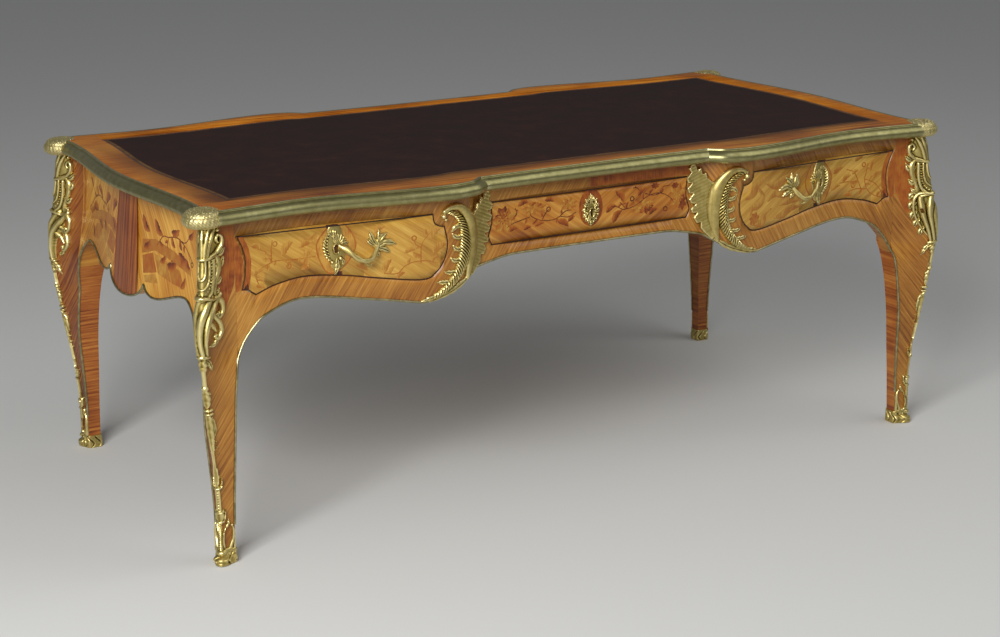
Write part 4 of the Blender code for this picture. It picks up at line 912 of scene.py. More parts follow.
# Chutes
# Cast, chased and gilt mounts that clasp the legs' arrises from the top to the sabots: a leafy capital, a
# beaded cartouche, a fluted knee with scrolls, then a thin trail of stems, rings and leaves.
class Relief:
    """Chased work over a flat sheet, in millimetres: how far inside its outline each place is, how high it
    stands and on which side of its stroke it lies."""

    def __init__(self, u, v):
        self.u, self.v = u, v
        self.inside = np.full(len(u), -3.0)
        self.high = np.zeros(len(u))
        self.tone = np.zeros(len(u))
        self.dye = (-1.0, 1.0)

    def near(self, line, margin):
        """Places near a line: which, how far off, on which side, how far along and the line's length."""
        low, high = line.min(0) - margin, line.max(0) + margin
        pick = np.nonzero((self.u > low[0]) & (self.u < high[0]) & (self.v > low[1]) & (self.v < high[1]))[0]
        spots = np.stack([self.u[pick], self.v[pick]], -1)
        best, side, reach, run = np.full(len(pick), 1e9), np.zeros(len(pick)), np.zeros(len(pick)), 0.0
        for start, end in zip(line, line[1:]):
            step = end - start
            length = max(np.hypot(*step), 1e-9)
            share = np.clip(((spots - start) @ step) / length ** 2, 0, 1)
            off = spots - start - share[:, None] * step
            gap = np.hypot(*off.T)
            closer = gap < best
            best = np.where(closer, gap, best)
            side = np.where(closer, np.sign(step[0] * off[:, 1] - step[1] * off[:, 0]), side)
            reach = np.where(closer, run + share * length, reach)
            run += length
        return pick, best, side, reach, run

    def lay(self, pick, inside, high, tone):
        """Keep the higher of what is there and what is laid, its tone spread over the dye's two values."""
        tone = self.dye[0] + (self.dye[1] - self.dye[0]) * (0.5 + 0.5 * tone)
        self.inside[pick] = np.maximum(self.inside[pick], inside)
        wins = (inside > 0) & (high > self.high[pick])
        self.high[pick] = np.where(wins, high, self.high[pick])
        self.tone[pick] = np.where(wins, tone, self.tone[pick])

    def bar(self, points, wide, high, flutes=0.0, skew=1.0):
        """Rounded bar along a curve, with half widths and heights at even shares; flutes is their
        spacing."""
        line = spline(points, 6)
        pick, gap, side, reach, run = self.near(line, np.max(wide) + 1)
        share = reach / run
        w = np.interp(share, np.linspace(0, 1, np.size(wide)), np.atleast_1d(wide))
        h = np.interp(share, np.linspace(0, 1, np.size(high)), np.atleast_1d(high))
        bulge = np.sqrt(np.clip(1 - (gap / w) ** 2, 0, 1))
        if flutes:
            bulge = bulge * (0.78 + 0.22 * np.cos(2 * math.pi * (reach + skew * side * gap) / flutes))
        self.lay(pick, w - gap, h * bulge, side * gap / w)

    def leaf(self, points, wide, high, lobes=4, cut=0.35):
        """Pointed leaf along a curve, with lobes cut into its edges, a hollow midrib and raised tips."""
        line = spline(points, 6)
        pick, gap, side, reach, run = self.near(line, wide + 1)
        share = reach / run
        scallop = np.abs(np.cos(math.pi * (lobes * share - 0.45 * gap / wide)))
        w = wide * np.sin(math.pi * (0.04 + 0.96 * share) ** 0.8) ** 0.75 * (1 - 0.7 * cut * (1 - scallop))
        w = np.maximum(w, 0.05)
        bulge = np.sqrt(np.clip(1 - (gap / w) ** 2, 0, 1)) * (0.86 + 0.14 * scallop) * (1 - 0.5 * share ** 3)
        bulge = bulge - 0.35 * np.exp(-(gap / (0.14 * wide)) ** 2)
        self.lay(pick, w - gap, high * np.maximum(bulge, 0.1), side * gap / w)

    def ball(self, u, v, radius, high):
        """Domed boss."""
        pick = np.nonzero(np.hypot(self.u - u, self.v - v) < radius + 3)[0]
        gap = np.hypot(self.u[pick] - u, self.v[pick] - v)
        self.lay(pick, radius - gap, high * np.sqrt(np.clip(1 - (gap / radius) ** 2, 0, 1)), gap / radius)

    def beads(self, points, count, radius, high):
        """Row of bosses along a curve."""
        line = spline(points, 8)
        run = np.concatenate([[0], np.cumsum(np.hypot(*np.diff(line, axis=0).T))])
        for share in np.linspace(0, 1, count):
            self.ball(np.interp(share * run[-1], run, line[:, 0]),
                      np.interp(share * run[-1], run, line[:, 1]),
                      radius, high)

    def plate(self, outline, high):
        """Flat field inside a closed outline."""
        ring = np.vstack([outline, outline[:1]])
        pick, gap, _, _, _ = self.near(ring, 3)
        u, v = self.u[pick], self.v[pick]
        within = np.zeros(len(pick), bool)
        for (ua, va), (ub, vb) in zip(ring, ring[1:]):
            if va != vb:
                within ^= ((va > v) != (vb > v)) & (u < (ub - ua) * (v - va) / (vb - va) + ua)
        self.lay(pick, np.where(within, gap, -gap), high * np.clip(gap / 1.5, 0, 1), 0 * gap)

    def pierce(self, points, wide):
        """Cut through along a curve."""
        pick, gap, _, _, _ = self.near(spline(points, 6), np.max(wide) + 3)
        self.inside[pick] = np.minimum(self.inside[pick], gap - wide)


def casting(name, window, pitch, draw, wrap, lip=0.8, back=-0.3):
    """Relief cut out of a fine sheet, closed behind and bent to its seat; the tone stays as an attribute."""
    u0, u1, v0, v1 = window
    columns, rows = round((u1 - u0) / pitch), round((v1 - v0) / pitch)
    piece = sheet(name, columns, rows, lambda u, v: (u0 + (u1 - u0) * u, v0 + (v1 - v0) * v, 0 * u))
    mesh = piece.data
    spots = np.empty(3 * len(mesh.vertices))
    mesh.vertices.foreach_get("co", spots)
    spots = spots.reshape(-1, 3)
    form = Relief(spots[:, 0], spots[:, 1])
    draw(form)
    corners = np.empty(len(mesh.loops), int)
    mesh.loops.foreach_get("vertex_index", corners)
    corners = corners.reshape(-1, 4)
    keep = (form.inside[corners].mean(1) > 0).reshape(rows, columns)
    for _ in range(4):
        a, b, c, d = keep[:-1, :-1], keep[:-1, 1:], keep[1:, :-1], keep[1:, 1:]
        pinch = (a & d & ~b & ~c) | (b & c & ~a & ~d)
        for part in (a, b, c, d):
            part |= pinch
    keep = keep.ravel()
    kept = np.bincount(corners[keep].ravel(), minlength=len(spots))
    rim = (kept > 0) & (kept < np.bincount(corners.ravel(), minlength=len(spots)))
    field = form.inside.reshape(rows + 1, columns + 1)
    slope = np.stack([np.gradient(field, pitch, axis=1).ravel(), np.gradient(field, pitch, axis=0).ravel()],
                     -1)
    steep = np.maximum(np.linalg.norm(slope, axis=1), 0.3)
    shift = np.clip(form.inside / steep, -0.7 * pitch, 0.7 * pitch) * rim
    spots[:, :2] -= slope / steep[:, None] * shift[:, None]
    mesh.vertices.foreach_set("co", spots.ravel())
    # Hollow attribute: how far each place stands above its blurred surroundings, below 0 where it is sunk;
    # the gilding turns it into painted shade in the hollows and painted highlight on the raised work.
    blurred = form.high.reshape(rows + 1, columns + 1)
    for _ in range(8):
        blurred = (blurred + sum(np.roll(blurred, way, axis) for way in (1, -1) for axis in (0, 1))) / 5
    hollow = np.clip((form.high - blurred.ravel()) / 1.2, -1, 1)
    for label, values in (("rise", np.where(rim, 0.0, form.high)), ("tone", form.tone), ("hollow", hollow)):
        mesh.attributes.new(label, "FLOAT", "POINT").data.foreach_set("value", values.astype(np.float32))
    bpy.context.tool_settings.mesh_select_mode = (False, False, True)
    mesh.polygons.foreach_set("select", ~keep)
    bpy.ops.object.mode_set(mode="EDIT")
    bpy.ops.mesh.delete(type="FACE")
    bpy.ops.mesh.select_all(action="SELECT")
    bpy.ops.mesh.extrude_region_move()
    bpy.ops.object.mode_set(mode="OBJECT")
    count = len(mesh.vertices)
    spots, high, upper = np.empty(3 * count), np.empty(count, np.float32), np.empty(count, bool)
    mesh.vertices.foreach_get("co", spots)
    mesh.attributes["rise"].data.foreach_get("value", high)
    mesh.vertices.foreach_get("select", upper)
    u, v, _ = spots.reshape(-1, 3).T
    placed = np.stack(wrap(u, v, np.where(upper, lip + high, back) / 1000), -1)
    mesh.vertices.foreach_set("co", placed.ravel())
    mesh.attributes.remove(mesh.attributes["rise"])
    bpy.ops.object.mode_set(mode="EDIT")
    bpy.ops.mesh.select_all(action="SELECT")
    bpy.ops.mesh.normals_make_consistent(inside=False)
    bpy.ops.object.mode_set(mode="OBJECT")
    bpy.ops.object.shade_smooth_by_angle(angle=math.radians(50))
    return piece


chute_spread = smooth((0.0, 0.005), (0.36, 0.006), (0.44, 0.009), (0.475, 0.014), (0.52, 0.024),
                      (0.57, 0.030), (0.60, 0.028),
                      (0.70, 0.027), (0.76, 0.027))


def on_leg(t, v, out):
    """Place on a leg: millimetres round from the arris, over the front face if positive, and up the leg.
    Near the arris the mount's ground is rounded and stands clear of it; what is sunk (out below 0) goes to
    the wood."""
    z = v / 1000
    arris, front, end = leg_section(z)
    spread = chute_spread(z)
    arc = 1.11 * spread
    reach = np.abs(t) / 1000
    along = np.where(reach < arc, spread * reach / arc, spread + reach - arc)

    def skin(edge, deep, distance):
        share = np.clip(distance / np.linalg.norm(edge - arris, axis=-1), 0, 1)
        return dished(arris, edge, share, deep)

    on_front = (t > 0)[:, None]
    wood = np.where(on_front, skin(front, 1, along), skin(end, 0, along))
    step_front = skin(front, 1, along + 0.003) - skin(front, 1, along)
    step_end = skin(end, 0, along + 0.003) - skin(end, 0, along)
    square = np.where(on_front, np.stack([step_front[:, 1], -step_front[:, 0]], -1),
                      np.stack([-step_end[:, 1], step_end[:, 0]], -1))
    square = unit(square * np.sign(square.sum(1) + 1e-12)[:, None] + 1e-9)
    side_front, side_end = skin(front, 1, spread), skin(end, 0, spread)
    middle, half = 0.5 * (side_front + side_end), 0.5 * (side_front - side_end)
    rise = np.linalg.norm(arris - middle, axis=1)[:, None] + 0.0008
    outward_way = unit(arris - middle)
    turn = np.clip(0.5 * math.pi * t / 1000 / arc, -0.5 * math.pi, 0.5 * math.pi)[:, None]
    ground = middle + outward_way * rise * np.cos(turn) + half * np.sin(turn)
    normal = unit(outward_way * np.cos(turn) / rise + half * np.sin(turn) / np.sum(half ** 2, 1)[:, None])
    past = np.clip((reach / arc - 0.7) / 0.5, 0, 1)[:, None]
    ground = np.where((reach > arc)[:, None], wood, ground)
    raised = ground + unit(normal * (1 - past) + square * past) * out[:, None]
    spot = np.where((out > 0)[:, None], raised, wood + square * out[:, None])
    return spot[:, 0], spot[:, 1], z


def chute(form, hand):
    """Drawing of a chute, from the capital down. One side of its knee opens into scrolls, over the front
    face where the hand is positive, and the other has a smooth hollow panel with leaves along its rim."""
    form.bar([(0, 688), (0, 712), (0, 734)], [30, 42, 38], [4, 5, 5])
    for lean in (-2, -1, 0, 1, 2):
        form.bar([(5 * lean, 690), (6.5 * lean, 714), (9.5 * lean, 736), (12 * lean, 747)], [5, 5.4, 5, 3],
                 [8, 9, 10, 7])
    for side in (1, -1):
        form.bar([(side * u, v) for u, v in ((16, 690), (33, 696), (45, 709), (44, 726), (34, 732),
                                             (29, 723), (35, 716))],
                 [4, 6, 6.4, 5.6, 4.6, 4, 3], [8, 10, 10, 9.5, 9])
        form.leaf([(side * 30, 690), (side * 46, 692), (side * 57, 703)], 9, 7, 2, 0.25)
        form.ball(side * 33, 742, 5.4, 9)
    form.bar([(-31, 690), (0, 686), (31, 690)], [4.5, 5, 4.5], [8, 10, 8])
    form.bar([(0, 684), (0, 645), (0, 606)], [26, 30, 24], [4, 5, 4])
    frame = [(-25, 682), (-28, 650), (-25, 620), (-13, 606), (0, 602), (13, 606), (25, 620), (28, 650),
             (25, 682)]
    for scale, wide, high in ((1.0, 4.4, 9), (0.62, 2.8, 7.5), (0.28, 3.2, 8)):
        form.bar([(u * scale, 684 + (v - 684) * (0.3 + 0.7 * scale)) for u, v in frame], [wide], [high])
    form.beads([(u * 0.81, 684 + (v - 684) * 0.867) for u, v in frame], 26, 2.3, 7)
    for side in (1, -1):
        form.bar([(side * u, v) for u, v in ((31, 690), (41, 676), (43, 655), (36, 632), (34, 614),
                                             (42, 602),
                                             (54, 598))], [5, 8.4, 8, 6.6, 7.6, 6.6, 2.4],
                                             [7, 8.5, 8, 7, 8, 6, 3])
        form.leaf([(side * 30, 640), (side * 45, 634), (side * 55, 643)], 10, 7, 2, 0.25)
        form.leaf([(side * 32, 672), (side * 48, 668), (side * 56, 684)], 10, 7, 2, 0.25)
        form.leaf([(side * 30, 616), (side * 43, 612), (side * 50, 620)], 8, 7, 2, 0.25)
    form.bar([(hand * 12, 604), (hand * 4, 574), (hand * -6, 540), (0, 490)], [34, 34, 20, 10], [6, 7, 7, 5])
    for share in (0.0, 0.33, 0.66, 1.0):
        form.bar([(hand * (u + share * (w - u)), v) for u, w, v in (
            (-26, 50, 605), (-30, 34, 588), (-27, 15, 556), (-17, 8, 518), (-8, 9, 479))],
            [7, 8.5, 6.5, 4.6, 3.4], [9, 13, 13, 11, 8])
    for line, wide, high in (
            (((28, 600), (46, 598), (59, 586), (61, 568), (51, 557), (44, 565)), [7, 8, 7.2, 6, 5, 3.6],
             [10, 9, 8]),
            (((24, 572), (40, 560), (55, 544), (60, 526), (50, 512), (39, 519)), [4, 6.2, 6.6, 6, 5, 3.6],
             [7, 8, 7]),
            (((20, 552), (34, 541), (45, 528)), [4.5, 6, 2.4], [7, 7, 4])):
        form.bar([(hand * u, v) for u, v in line], wide, high)
    form.ball(hand * 50, 565, 5, 8)
    form.ball(hand * 43, 520, 4, 7)
    form.leaf([(hand * 50, 512), (hand * 40, 502), (hand * 24, 498)], 6, 6, 2)
    panel = -hand
    form.bar([(panel * 20, 592), (panel * 28, 562), (panel * 14, 512)], [16, 20, 10], [5, 4, 5])
    form.bar([(panel * u, v) for u, v in ((2, 604), (26, 607), (44, 594), (49, 570), (44, 544), (31, 520),
                                          (14, 496))],
             [5, 5.5, 5.5, 4.6, 4.2, 4, 3], [12, 11, 10, 9, 8, 8, 7])
    for line in (((40, 602), (54, 602), (64, 590)), ((46, 582), (58, 578), (64, 564)),
                 ((46, 560), (57, 552), (60, 538)),
                 ((40, 540), (50, 530), (52, 518)), ((30, 520), (38, 508), (38, 496)),
                 ((30, 588), (36, 572), (34, 556))):
        form.leaf([(panel * (u - 5), v) for u, v in line], 10, 8, 2)
    form.pierce([(panel * 29, 567), (panel * 27, 560)], 1.8)
    form.bar([(-27, 600), (0, 607), (27, 600)], [4, 5.5, 4], [11, 12, 11])
    form.bar([(-13, 480), (0, 483), (13, 480)], [4.4, 5.4, 4.4], [9, 10, 9])
    form.leaf([(0, 482), (0, 466), (0, 444)], 11, 8, 3)
    for side in (1, -1):
        form.leaf([(side * 6, 476), (side * 17, 466), (side * 26, 446)], 8, 7, 3)
        form.ball(side * 7, 400, 4, 6.5)
        form.leaf([(side * 5, 346), (side * 10, 326), (side * 9, 298)], 6, 5.5, 2)
        for v in (288, 274, 260):
            form.ball(side * 9, v, 2.4, 4.5)
        form.bar([(side * 2, 284), (side * 1, 240), (side * 3, 205), (side * 1, 180)], [1.8, 1.4, 1.5, 1.4],
                 [4, 3.6, 4, 4])
        form.bar([(side * 1, 177), (side * 6, 181), (side * 9, 189), (side * 11, 201)], [2.6, 2.4, 2, 1.2],
                 [7, 7, 6, 4])
        form.bar([(side * 1.8, 176), (side * 2.2, 150), (side * 1.8, 118)], [1.6, 1.7, 1.5], [4, 3.8, 4])
        form.bar([(side * 1, 99), (side * 7, 103), (side * 11, 112), (side * 13, 126)], [3, 3, 2.6, 1.4],
                 [7, 7, 6, 4])
    form.bar([(0, 458), (1, 436), (0, 408)], [4.2, 3.4, 4], [5.5, 5, 5.5])
    form.ball(0, 413, 6, 8)
    form.leaf([(0, 408), (0, 390), (0, 364)], 10.5, 7, 3)
    for v in (363, 354):
        form.bar([(-8, v), (0, v - 1), (8, v)], [3.4], [7])
    form.leaf([(0, 352), (0, 318), (0, 268)], 8.5, 6, 4, 0.2)
    form.bar([(0, 284), (0, 230), (0, 168)], [3.2, 2.4, 3.2], [2.4, 2, 2.4])
    form.bar([(0, 176), (0, 140), (0, 104)], [3.6, 3, 3.4], [2.4, 2, 2.4])
    form.beads([(0, 168), (0, 150), (0, 132)], 7, 1.7, 4.4)
    form.bar([(-7, 126), (0, 120), (7, 126)], [2, 2.4, 2], [7])
    form.leaf([(0, 122), (0, 108), (0, 95)], 9, 7, 1, 0)


GILT = gilding("chased_gilt_brass", ("#4a3d1a", "#9a8746", "#c4b06c", "#e8d898"), (0.36, 0.58))
for hand in (1, -1):
    cast = painted(casting("chute", (-66, 66, 92, 750), 1.25, lambda form: chute(form, hand), on_leg), GILT)
    for corner, x_sign, y_sign in CORNERS:
        if x_sign * y_sign == hand:
            mount = mirrored(cast, f"chute_mount_{corner}", x_sign, y_sign)
            fitted(mount, "carcass", "gilt_brass", f"chute_{corner}")
    bpy.data.objects.remove(cast, do_unlink=True)


# Sabots
# Cast and gilt shoes on the feet: a scrolled toe that turns out along the diagonal, and above it two straps
# and a stem that climb the leg with the wood showing between them.
def sabot_place(u, v):
    """Skin of the toe from its sole upwards; u runs round the foot, starting at the inner corner."""
    levels = np.array([0.0, 0.0, 0.002, 0.006, 0.011, 0.016, 0.021, 0.026, 0.030, 0.032, 0.032])
    toe = np.array([0.007, 0.012, 0.0145, 0.0160, 0.0145, 0.0110, 0.0070, 0.0045, 0.0035, 0.003, 0.001])
    wall = np.array([0.000, 0.002, 0.0036, 0.0042, 0.0040, 0.0034, 0.0030, 0.0028, 0.0030, 0.0024, -0.002])
    k = v * (len(levels) - 1)
    steps = np.arange(len(levels))
    z = np.interp(k, steps, levels)
    toe, wall = np.interp(k, steps, toe), np.interp(k, steps, wall)
    arris, front, end = leg_section(np.maximum(z, LEG_FOOT))
    centre = 0.5 * (front + end)
    half = 0.5 * np.linalg.norm(arris - np.stack([front[:, 0], end[:, 1]], -1), axis=1) / math.sqrt(2)
    angle = 2 * math.pi * u
    way = np.stack([np.cos(angle), np.sin(angle)], -1)
    square = 1 / np.maximum(np.abs(way[:, 0]), np.abs(way[:, 1]))
    forward = np.clip(way.sum(1) / math.sqrt(2), 0, 1)
    body = np.clip(z / 0.004, 0, 1) * np.clip((0.032 - z) / 0.006, 0, 1)
    turn = angle - math.pi / 4
    groove = np.exp(-(np.sin(3.5 * turn + 1.2 * np.sin(150 * z)) / 0.25) ** 2)
    volutes = sum(np.exp(-((turn - at) / 0.2) ** 2 - ((z - 0.013) / 0.006) ** 2) for at in (-1.3, -0.55,
        0.55, 1.3))
    lumps = 0.005 * volutes - 0.0055 * groove + 0.002 * np.cos(420 * z) * forward
    reach = half * np.minimum(square, 1.26) + wall + toe * forward ** 3 + body * lumps
    return centre[:, 0] + way[:, 0] * reach, centre[:, 1] + way[:, 1] * reach, z


def sabot(form):
    """Drawing of the straps above the toe."""
    for side in (1, -1):
        form.bar([(side * 18, 24), (side * 22, 40), (side * 29, 58), (side * 30, 78), (side * 26, 88)],
                 [5, 4.4, 4, 3.6, 2], [6, 6, 5.5, 5.5, 4])
        form.bar([(side * 31, 26), (side * 31, 46), (side * 32, 70)], [3.5, 2.6, 1.2], [5, 5, 3])
        form.bar([(side * 12, 24), (side * 5, 44), (side * 4, 62), (side * 9, 80), (side * 17, 90)],
                 [3, 2, 1.8, 2, 1.2], [6, 5, 4.5, 4.5, 3.5])
        form.ball(side * 26, 88, 3.2, 6)
        form.leaf([(side * 12, 84), (side * 18, 92), (side * 20, 104)], 4, 5, 2)
    form.bar([(0, 24), (0, 60), (0, 98)], [4.2, 3.4, 3.2], [3.6, 3, 3])
    form.beads([(0, 36), (0, 64), (0, 96)], 14, 2, 5)
    form.bar([(-33, 30), (-14, 33), (0, 28), (14, 33), (33, 30)], [4, 5.5, 6, 5.5, 4], [5, 6.5, 8, 6.5, 5])


toe = painted(closed(sheet("toe", 96, 50, sabot_place), 60), GILT)
straps = painted(casting("straps", (-34.5, 34.5, 20, 106), 0.9, sabot, on_leg), GILT)
at_corners(joined("sabot", [toe, straps]), "sabot_mount", "gilt_brass", "sabot")


# Acanthus mounts
# Big cast leaves over the breaks of the friezes: a matt, ribbed blade with a cut edge towards the middle,
# a smooth burnished crest that curls into a hook, a roped stem and a leafy tail down to the apron's tip.
def on_face(u, v, out):
    """Place on the frieze's face, in millimetres along and up, facing +Y."""
    x, z = u / 1000, v / 1000
    step = 0.007
    slope_x = (face(x + step, z) - face(x - step, z)) / (2 * step)
    slope_z = (face(x, z + step) - face(x, z - step)) / (2 * step)
    long = np.sqrt(1 + slope_x ** 2 + slope_z ** 2)
    return x - out * slope_x / long, face(x, z) + out / long, z - out * slope_z / long


def over_break(u, v, out):
    """Place on a smooth bridge over the frieze's break; what is sunk goes to the wood."""
    x, z = u / 1000, v / 1000

    def bridge(x, z):
        mean = sum(face(x + step, z) for step in np.linspace(-0.036, 0.036, 9)) / 9
        return np.maximum(face(x, z), mean + 0.001)

    slope = (bridge(x + 0.01, z) - bridge(x - 0.01, z)) / 0.02
    long = np.sqrt(1 + slope ** 2)
    raised = out > 0
    return (np.where(raised, x - out * slope / long, x), np.where(raised, bridge(x, z) + out / long,
        face(x, z) + out),
            z)


def acanthus(form):
    """Drawing of the right-hand mount: blade, crest, rope, sprays and tail."""
    blade = np.array([
        (272, 748), (266, 736), (272, 728), (260, 716), (264, 703), (274, 702), (262, 690), (267, 678),
        (278, 677),
        (267, 663), (274, 653), (285, 652), (272, 640), (276, 630), (288, 630), (280, 618), (288, 604),
        (298, 606),
        (298, 592), (308, 580), (326, 562), (338, 575), (344, 640), (338, 690), (322, 706), (312, 714),
        (309, 727),
        (301, 724), (296, 740), (289, 733), (283, 749)], float)
    form.plate(blade, 3.2)
    inside = form.inside > 0
    ribs = np.abs(np.sin(math.pi * (form.v - 0.42 * (form.u - 262) + 2) / 8.4))
    grow = np.clip((form.u - 262) / 60, 0, 1)
    form.high += inside * (0.7 * ribs * (1 - 0.7 * grow) + 3.0 * grow)
    form.bar([(338, 560), (331, 592), (327, 632), (330, 676), (343, 706), (362, 726), (384, 730),
              (403, 722)],
             [5, 11, 16, 18, 16, 12, 8.5, 5.5], [6, 9, 12, 14, 14, 12, 10, 8])
    form.bar([(408, 712), (398, 721), (380, 715), (361, 698), (350, 672), (347, 636), (353, 602), (367, 572),
              (396, 544), (432, 523)], [4, 6, 8, 11, 13, 13, 12, 10, 7, 3],
             [7, 9, 11, 13, 14, 14, 13, 11, 8, 4], 7.5, 1.0)
    form.ball(405, 711, 6.5, 10)
    form.ball(399, 703, 4.2, 7)
    for line in (((358, 684), (372, 684), (384, 672)), ((356, 658), (372, 660), (382, 670)),
                 ((356, 630), (370, 632), (378, 642)), ((360, 606), (374, 606), (384, 614)),
                 ((370, 580), (386, 580), (400, 584)), ((386, 558), (404, 560), (418, 562))):
        form.leaf(line, 7, 6, 2)
    form.leaf([(352, 588), (398, 540), (450, 519)], 11, 6, 6)
    form.leaf([(330, 566), (372, 540), (436, 517)], 8, 5, 5)
    form.leaf([(420, 530), (436, 526), (456, 521)], 6, 5, 3)


leaf = painted(casting("acanthus", (252, 462, 508, 751), 1.15, acanthus, over_break), GILT)
at_corners(leaf, "leaf_mount", "gilt_brass", "acanthus")


# Pulls and keyhole plates
# Cast and gilt rocaille plates round the keyholes. The side ones throw out a branch that stands off the
# drawer as a handle and ends in leaf sprays; the back has the same mounts on its sham drawers.
def keyhole_cut(form, x):
    """Pierce a keyhole at millimetres along."""
    form.pierce([(x, 669.0), (x, 668.9)], 4.0)
    form.pierce([(x, 668), (x, 657)], 2.6)


def pull_plate(form):
    """Drawing of a right-hand plate: a ribbed shell towards the branch, beads outside, a leaf above and
    below."""
    x = 648
    form.bar([(x + 2, 702), (x, 668), (x - 3, 630)], [16, 25, 15], [3, 4, 3])
    for k, tall in enumerate((37, 36, 33, 30, 29, 31, 30)):
        turn = math.radians(78 + 17 * k)
        tip = (x + tall * 0.95 * math.cos(turn) - 1, 668 + tall * 0.95 * math.sin(turn))
        form.leaf([(x + 4 * math.cos(turn), 668 + 6 * math.sin(turn)),
                   (0.5 * (x + tip[0]) - 1, 0.5 * (668 + tip[1]) + 1), tip], 6.2, 6.5, 2, 0.2)
    form.bar([(x + 10, 702), (x + 20, 690), (x + 25, 668), (x + 19, 646), (x + 6, 634)],
             [2.5, 4, 4.4, 4, 2.5],
             [5, 6.5, 7, 6.5, 5], 7)
    form.beads([(x + 17, 690), (x + 20, 668), (x + 16, 648)], 7, 2.1, 6.5)
    form.beads([(x + 27, 682), (x + 29, 668), (x + 26, 652)], 5, 2.0, 5)
    form.leaf([(x, 690), (x + 3, 699), (x, 709)], 7, 6, 2)
    form.leaf([(x + 4, 690), (x + 11, 697), (x + 15, 705)], 5, 5, 2)
    form.leaf([(x - 2, 640), (x - 3, 624), (x + 4, 605)], 8, 6, 3)
    form.leaf([(x - 10, 642), (x - 16, 634), (x - 14, 622)], 5, 5, 3)
    form.ball(x - 10, 641, 5.2, 7.5)
    form.ball(x + 9, 634, 4, 6)
    form.bar([(x - 6, 668), (x, 675), (x + 6, 668), (x + 4.6, 656), (x, 653), (x - 4.6, 656), (x - 6, 668)],
             [1.7], [7.4])
    keyhole_cut(form, x)


def sprays(form):
    """Drawing of the leaf sprays at the branch's end."""
    for line, wide in ((((557, 662), (566, 676), (573, 697)), 6), (((557, 662), (570, 668), (580, 680)), 5),
                       (((557, 662), (548, 678), (534, 690)), 6.5),
                       (((556, 660), (536, 668), (512, 661)), 7),
                       (((556, 658), (540, 652), (525, 644)), 6),
                       (((557, 657), (556, 646), (550, 636)), 5.5),
                       (((557, 660), (552, 682), (553, 700)), 4.5)):
        form.leaf(line, 1.3 * wide, 6.5, 2)
    form.ball(557, 660, 6, 8)


def branch(name, line):
    """Tapered, knotty branch along points given as along, up, stand-off and thickness in millimetres."""
    path = spline(line, 8)
    u, v, off, thick = path.T
    spots = np.stack(on_face(u, v, off / 1000), -1)
    along = unit(np.gradient(spots, axis=0))
    across = unit(np.cross(along, np.array([0.0, 1.0, 0.0])))
    lift = np.cross(across, along)

    def place(a, b):
        i = np.rint(b * (len(path) - 1)).astype(int)
        turn = 2 * math.pi * a
        radius = thick[i] / 1000 * (1 + 0.07 * np.cos(3 * turn + 0.5 * i))
        return (spots[i] + radius[:, None] * (across[i] * np.cos(turn)[:, None] + lift[i] * np.sin(turn)[:,
            None])).T

    return closed(sheet(name, 16, len(path) - 1, place), 60)


def escutcheon(form):
    """Drawing of the oval keyhole plate: a wreath of small leaves round a pierced ground."""
    form.bar([(0, 690), (0, 669), (0, 648)], [9, 12, 9], [3, 4, 3])
    for k in range(14):
        turn = 2 * math.pi * (k + 0.5) / 14
        root = (9 * math.cos(turn), 669 + 16 * math.sin(turn))
        tip = (24 * math.cos(turn + 0.22), 669 + 35 * math.sin(turn + 0.22))
        form.leaf([root, (0.55 * (root[0] + tip[0]), 669 + 0.55 * (root[1] + tip[1] - 1338)), tip], 5.6, 6,
                  2)
        form.ball(18 * math.cos(turn + 0.3), 669 + 28 * math.sin(turn + 0.3), 3, 6.5)
    form.leaf([(0, 690), (1, 699), (0, 708)], 5, 6, 3)
    form.leaf([(0, 648), (-1, 639), (0, 630)], 5, 6, 3)
    form.bar([(-6, 668), (0, 675), (6, 668), (4.6, 656), (0, 653), (-4.6, 656), (-6, 668)], [1.7], [7.5])
    for turn in (0.2, 1.1, 2.0, 2.9, 3.8, 4.7, 5.6):
        form.pierce([(14.5 * math.cos(turn), 669 + 21 * math.sin(turn)),
                     (15 * math.cos(turn + 0.1), 669 + 21.5 * math.sin(turn + 0.1))], 1.5)
    keyhole_cut(form, 0)


pull = joined("pull", [
    casting("plate", (614, 682, 600, 714), 0.8, pull_plate, on_face),
    casting("sprays", (506, 586, 630, 704), 0.8, sprays, on_face),
    branch("branch", [(640, 668, 4, 7), (630, 664, 13, 7), (617, 652, 21, 6.4), (603, 641, 24, 5.8),
                      (588, 636, 24, 5.6), (575, 638, 22, 5.8), (564, 648, 14, 5.8), (557, 661, 4, 5.4)]),
    branch("twig", [(592, 634, 24, 2.8), (584, 627, 22, 3), (577, 624, 19, 2.4), (571, 627, 17, 1.2)])])
painted(pull, GILT)
oval = painted(casting("oval", (-30, 30, 624, 714), 0.75, escutcheon, on_face), GILT)
for side, x_sign in (("left", -1), ("right", 1)):
    fitted(mirrored(pull, f"pull_mount_{side}", x_sign, -1), f"drawer_{side}", "gilt_brass", f"pull_{side}")
    fitted(mirrored(pull, f"sham_pull_mount_{side}", x_sign, 1), "carcass", "gilt_brass",
           f"sham_pull_{side}")
fitted(mirrored(oval, "escutcheon_mount", 1, -1), "drawer_centre", "gilt_brass", "escutcheon_centre")
fitted(mirrored(oval, "sham_escutcheon_mount", 1, 1), "carcass", "gilt_brass", "sham_escutcheon")
for source in (pull, oval):
    bpy.data.objects.remove(source, do_unlink=True)
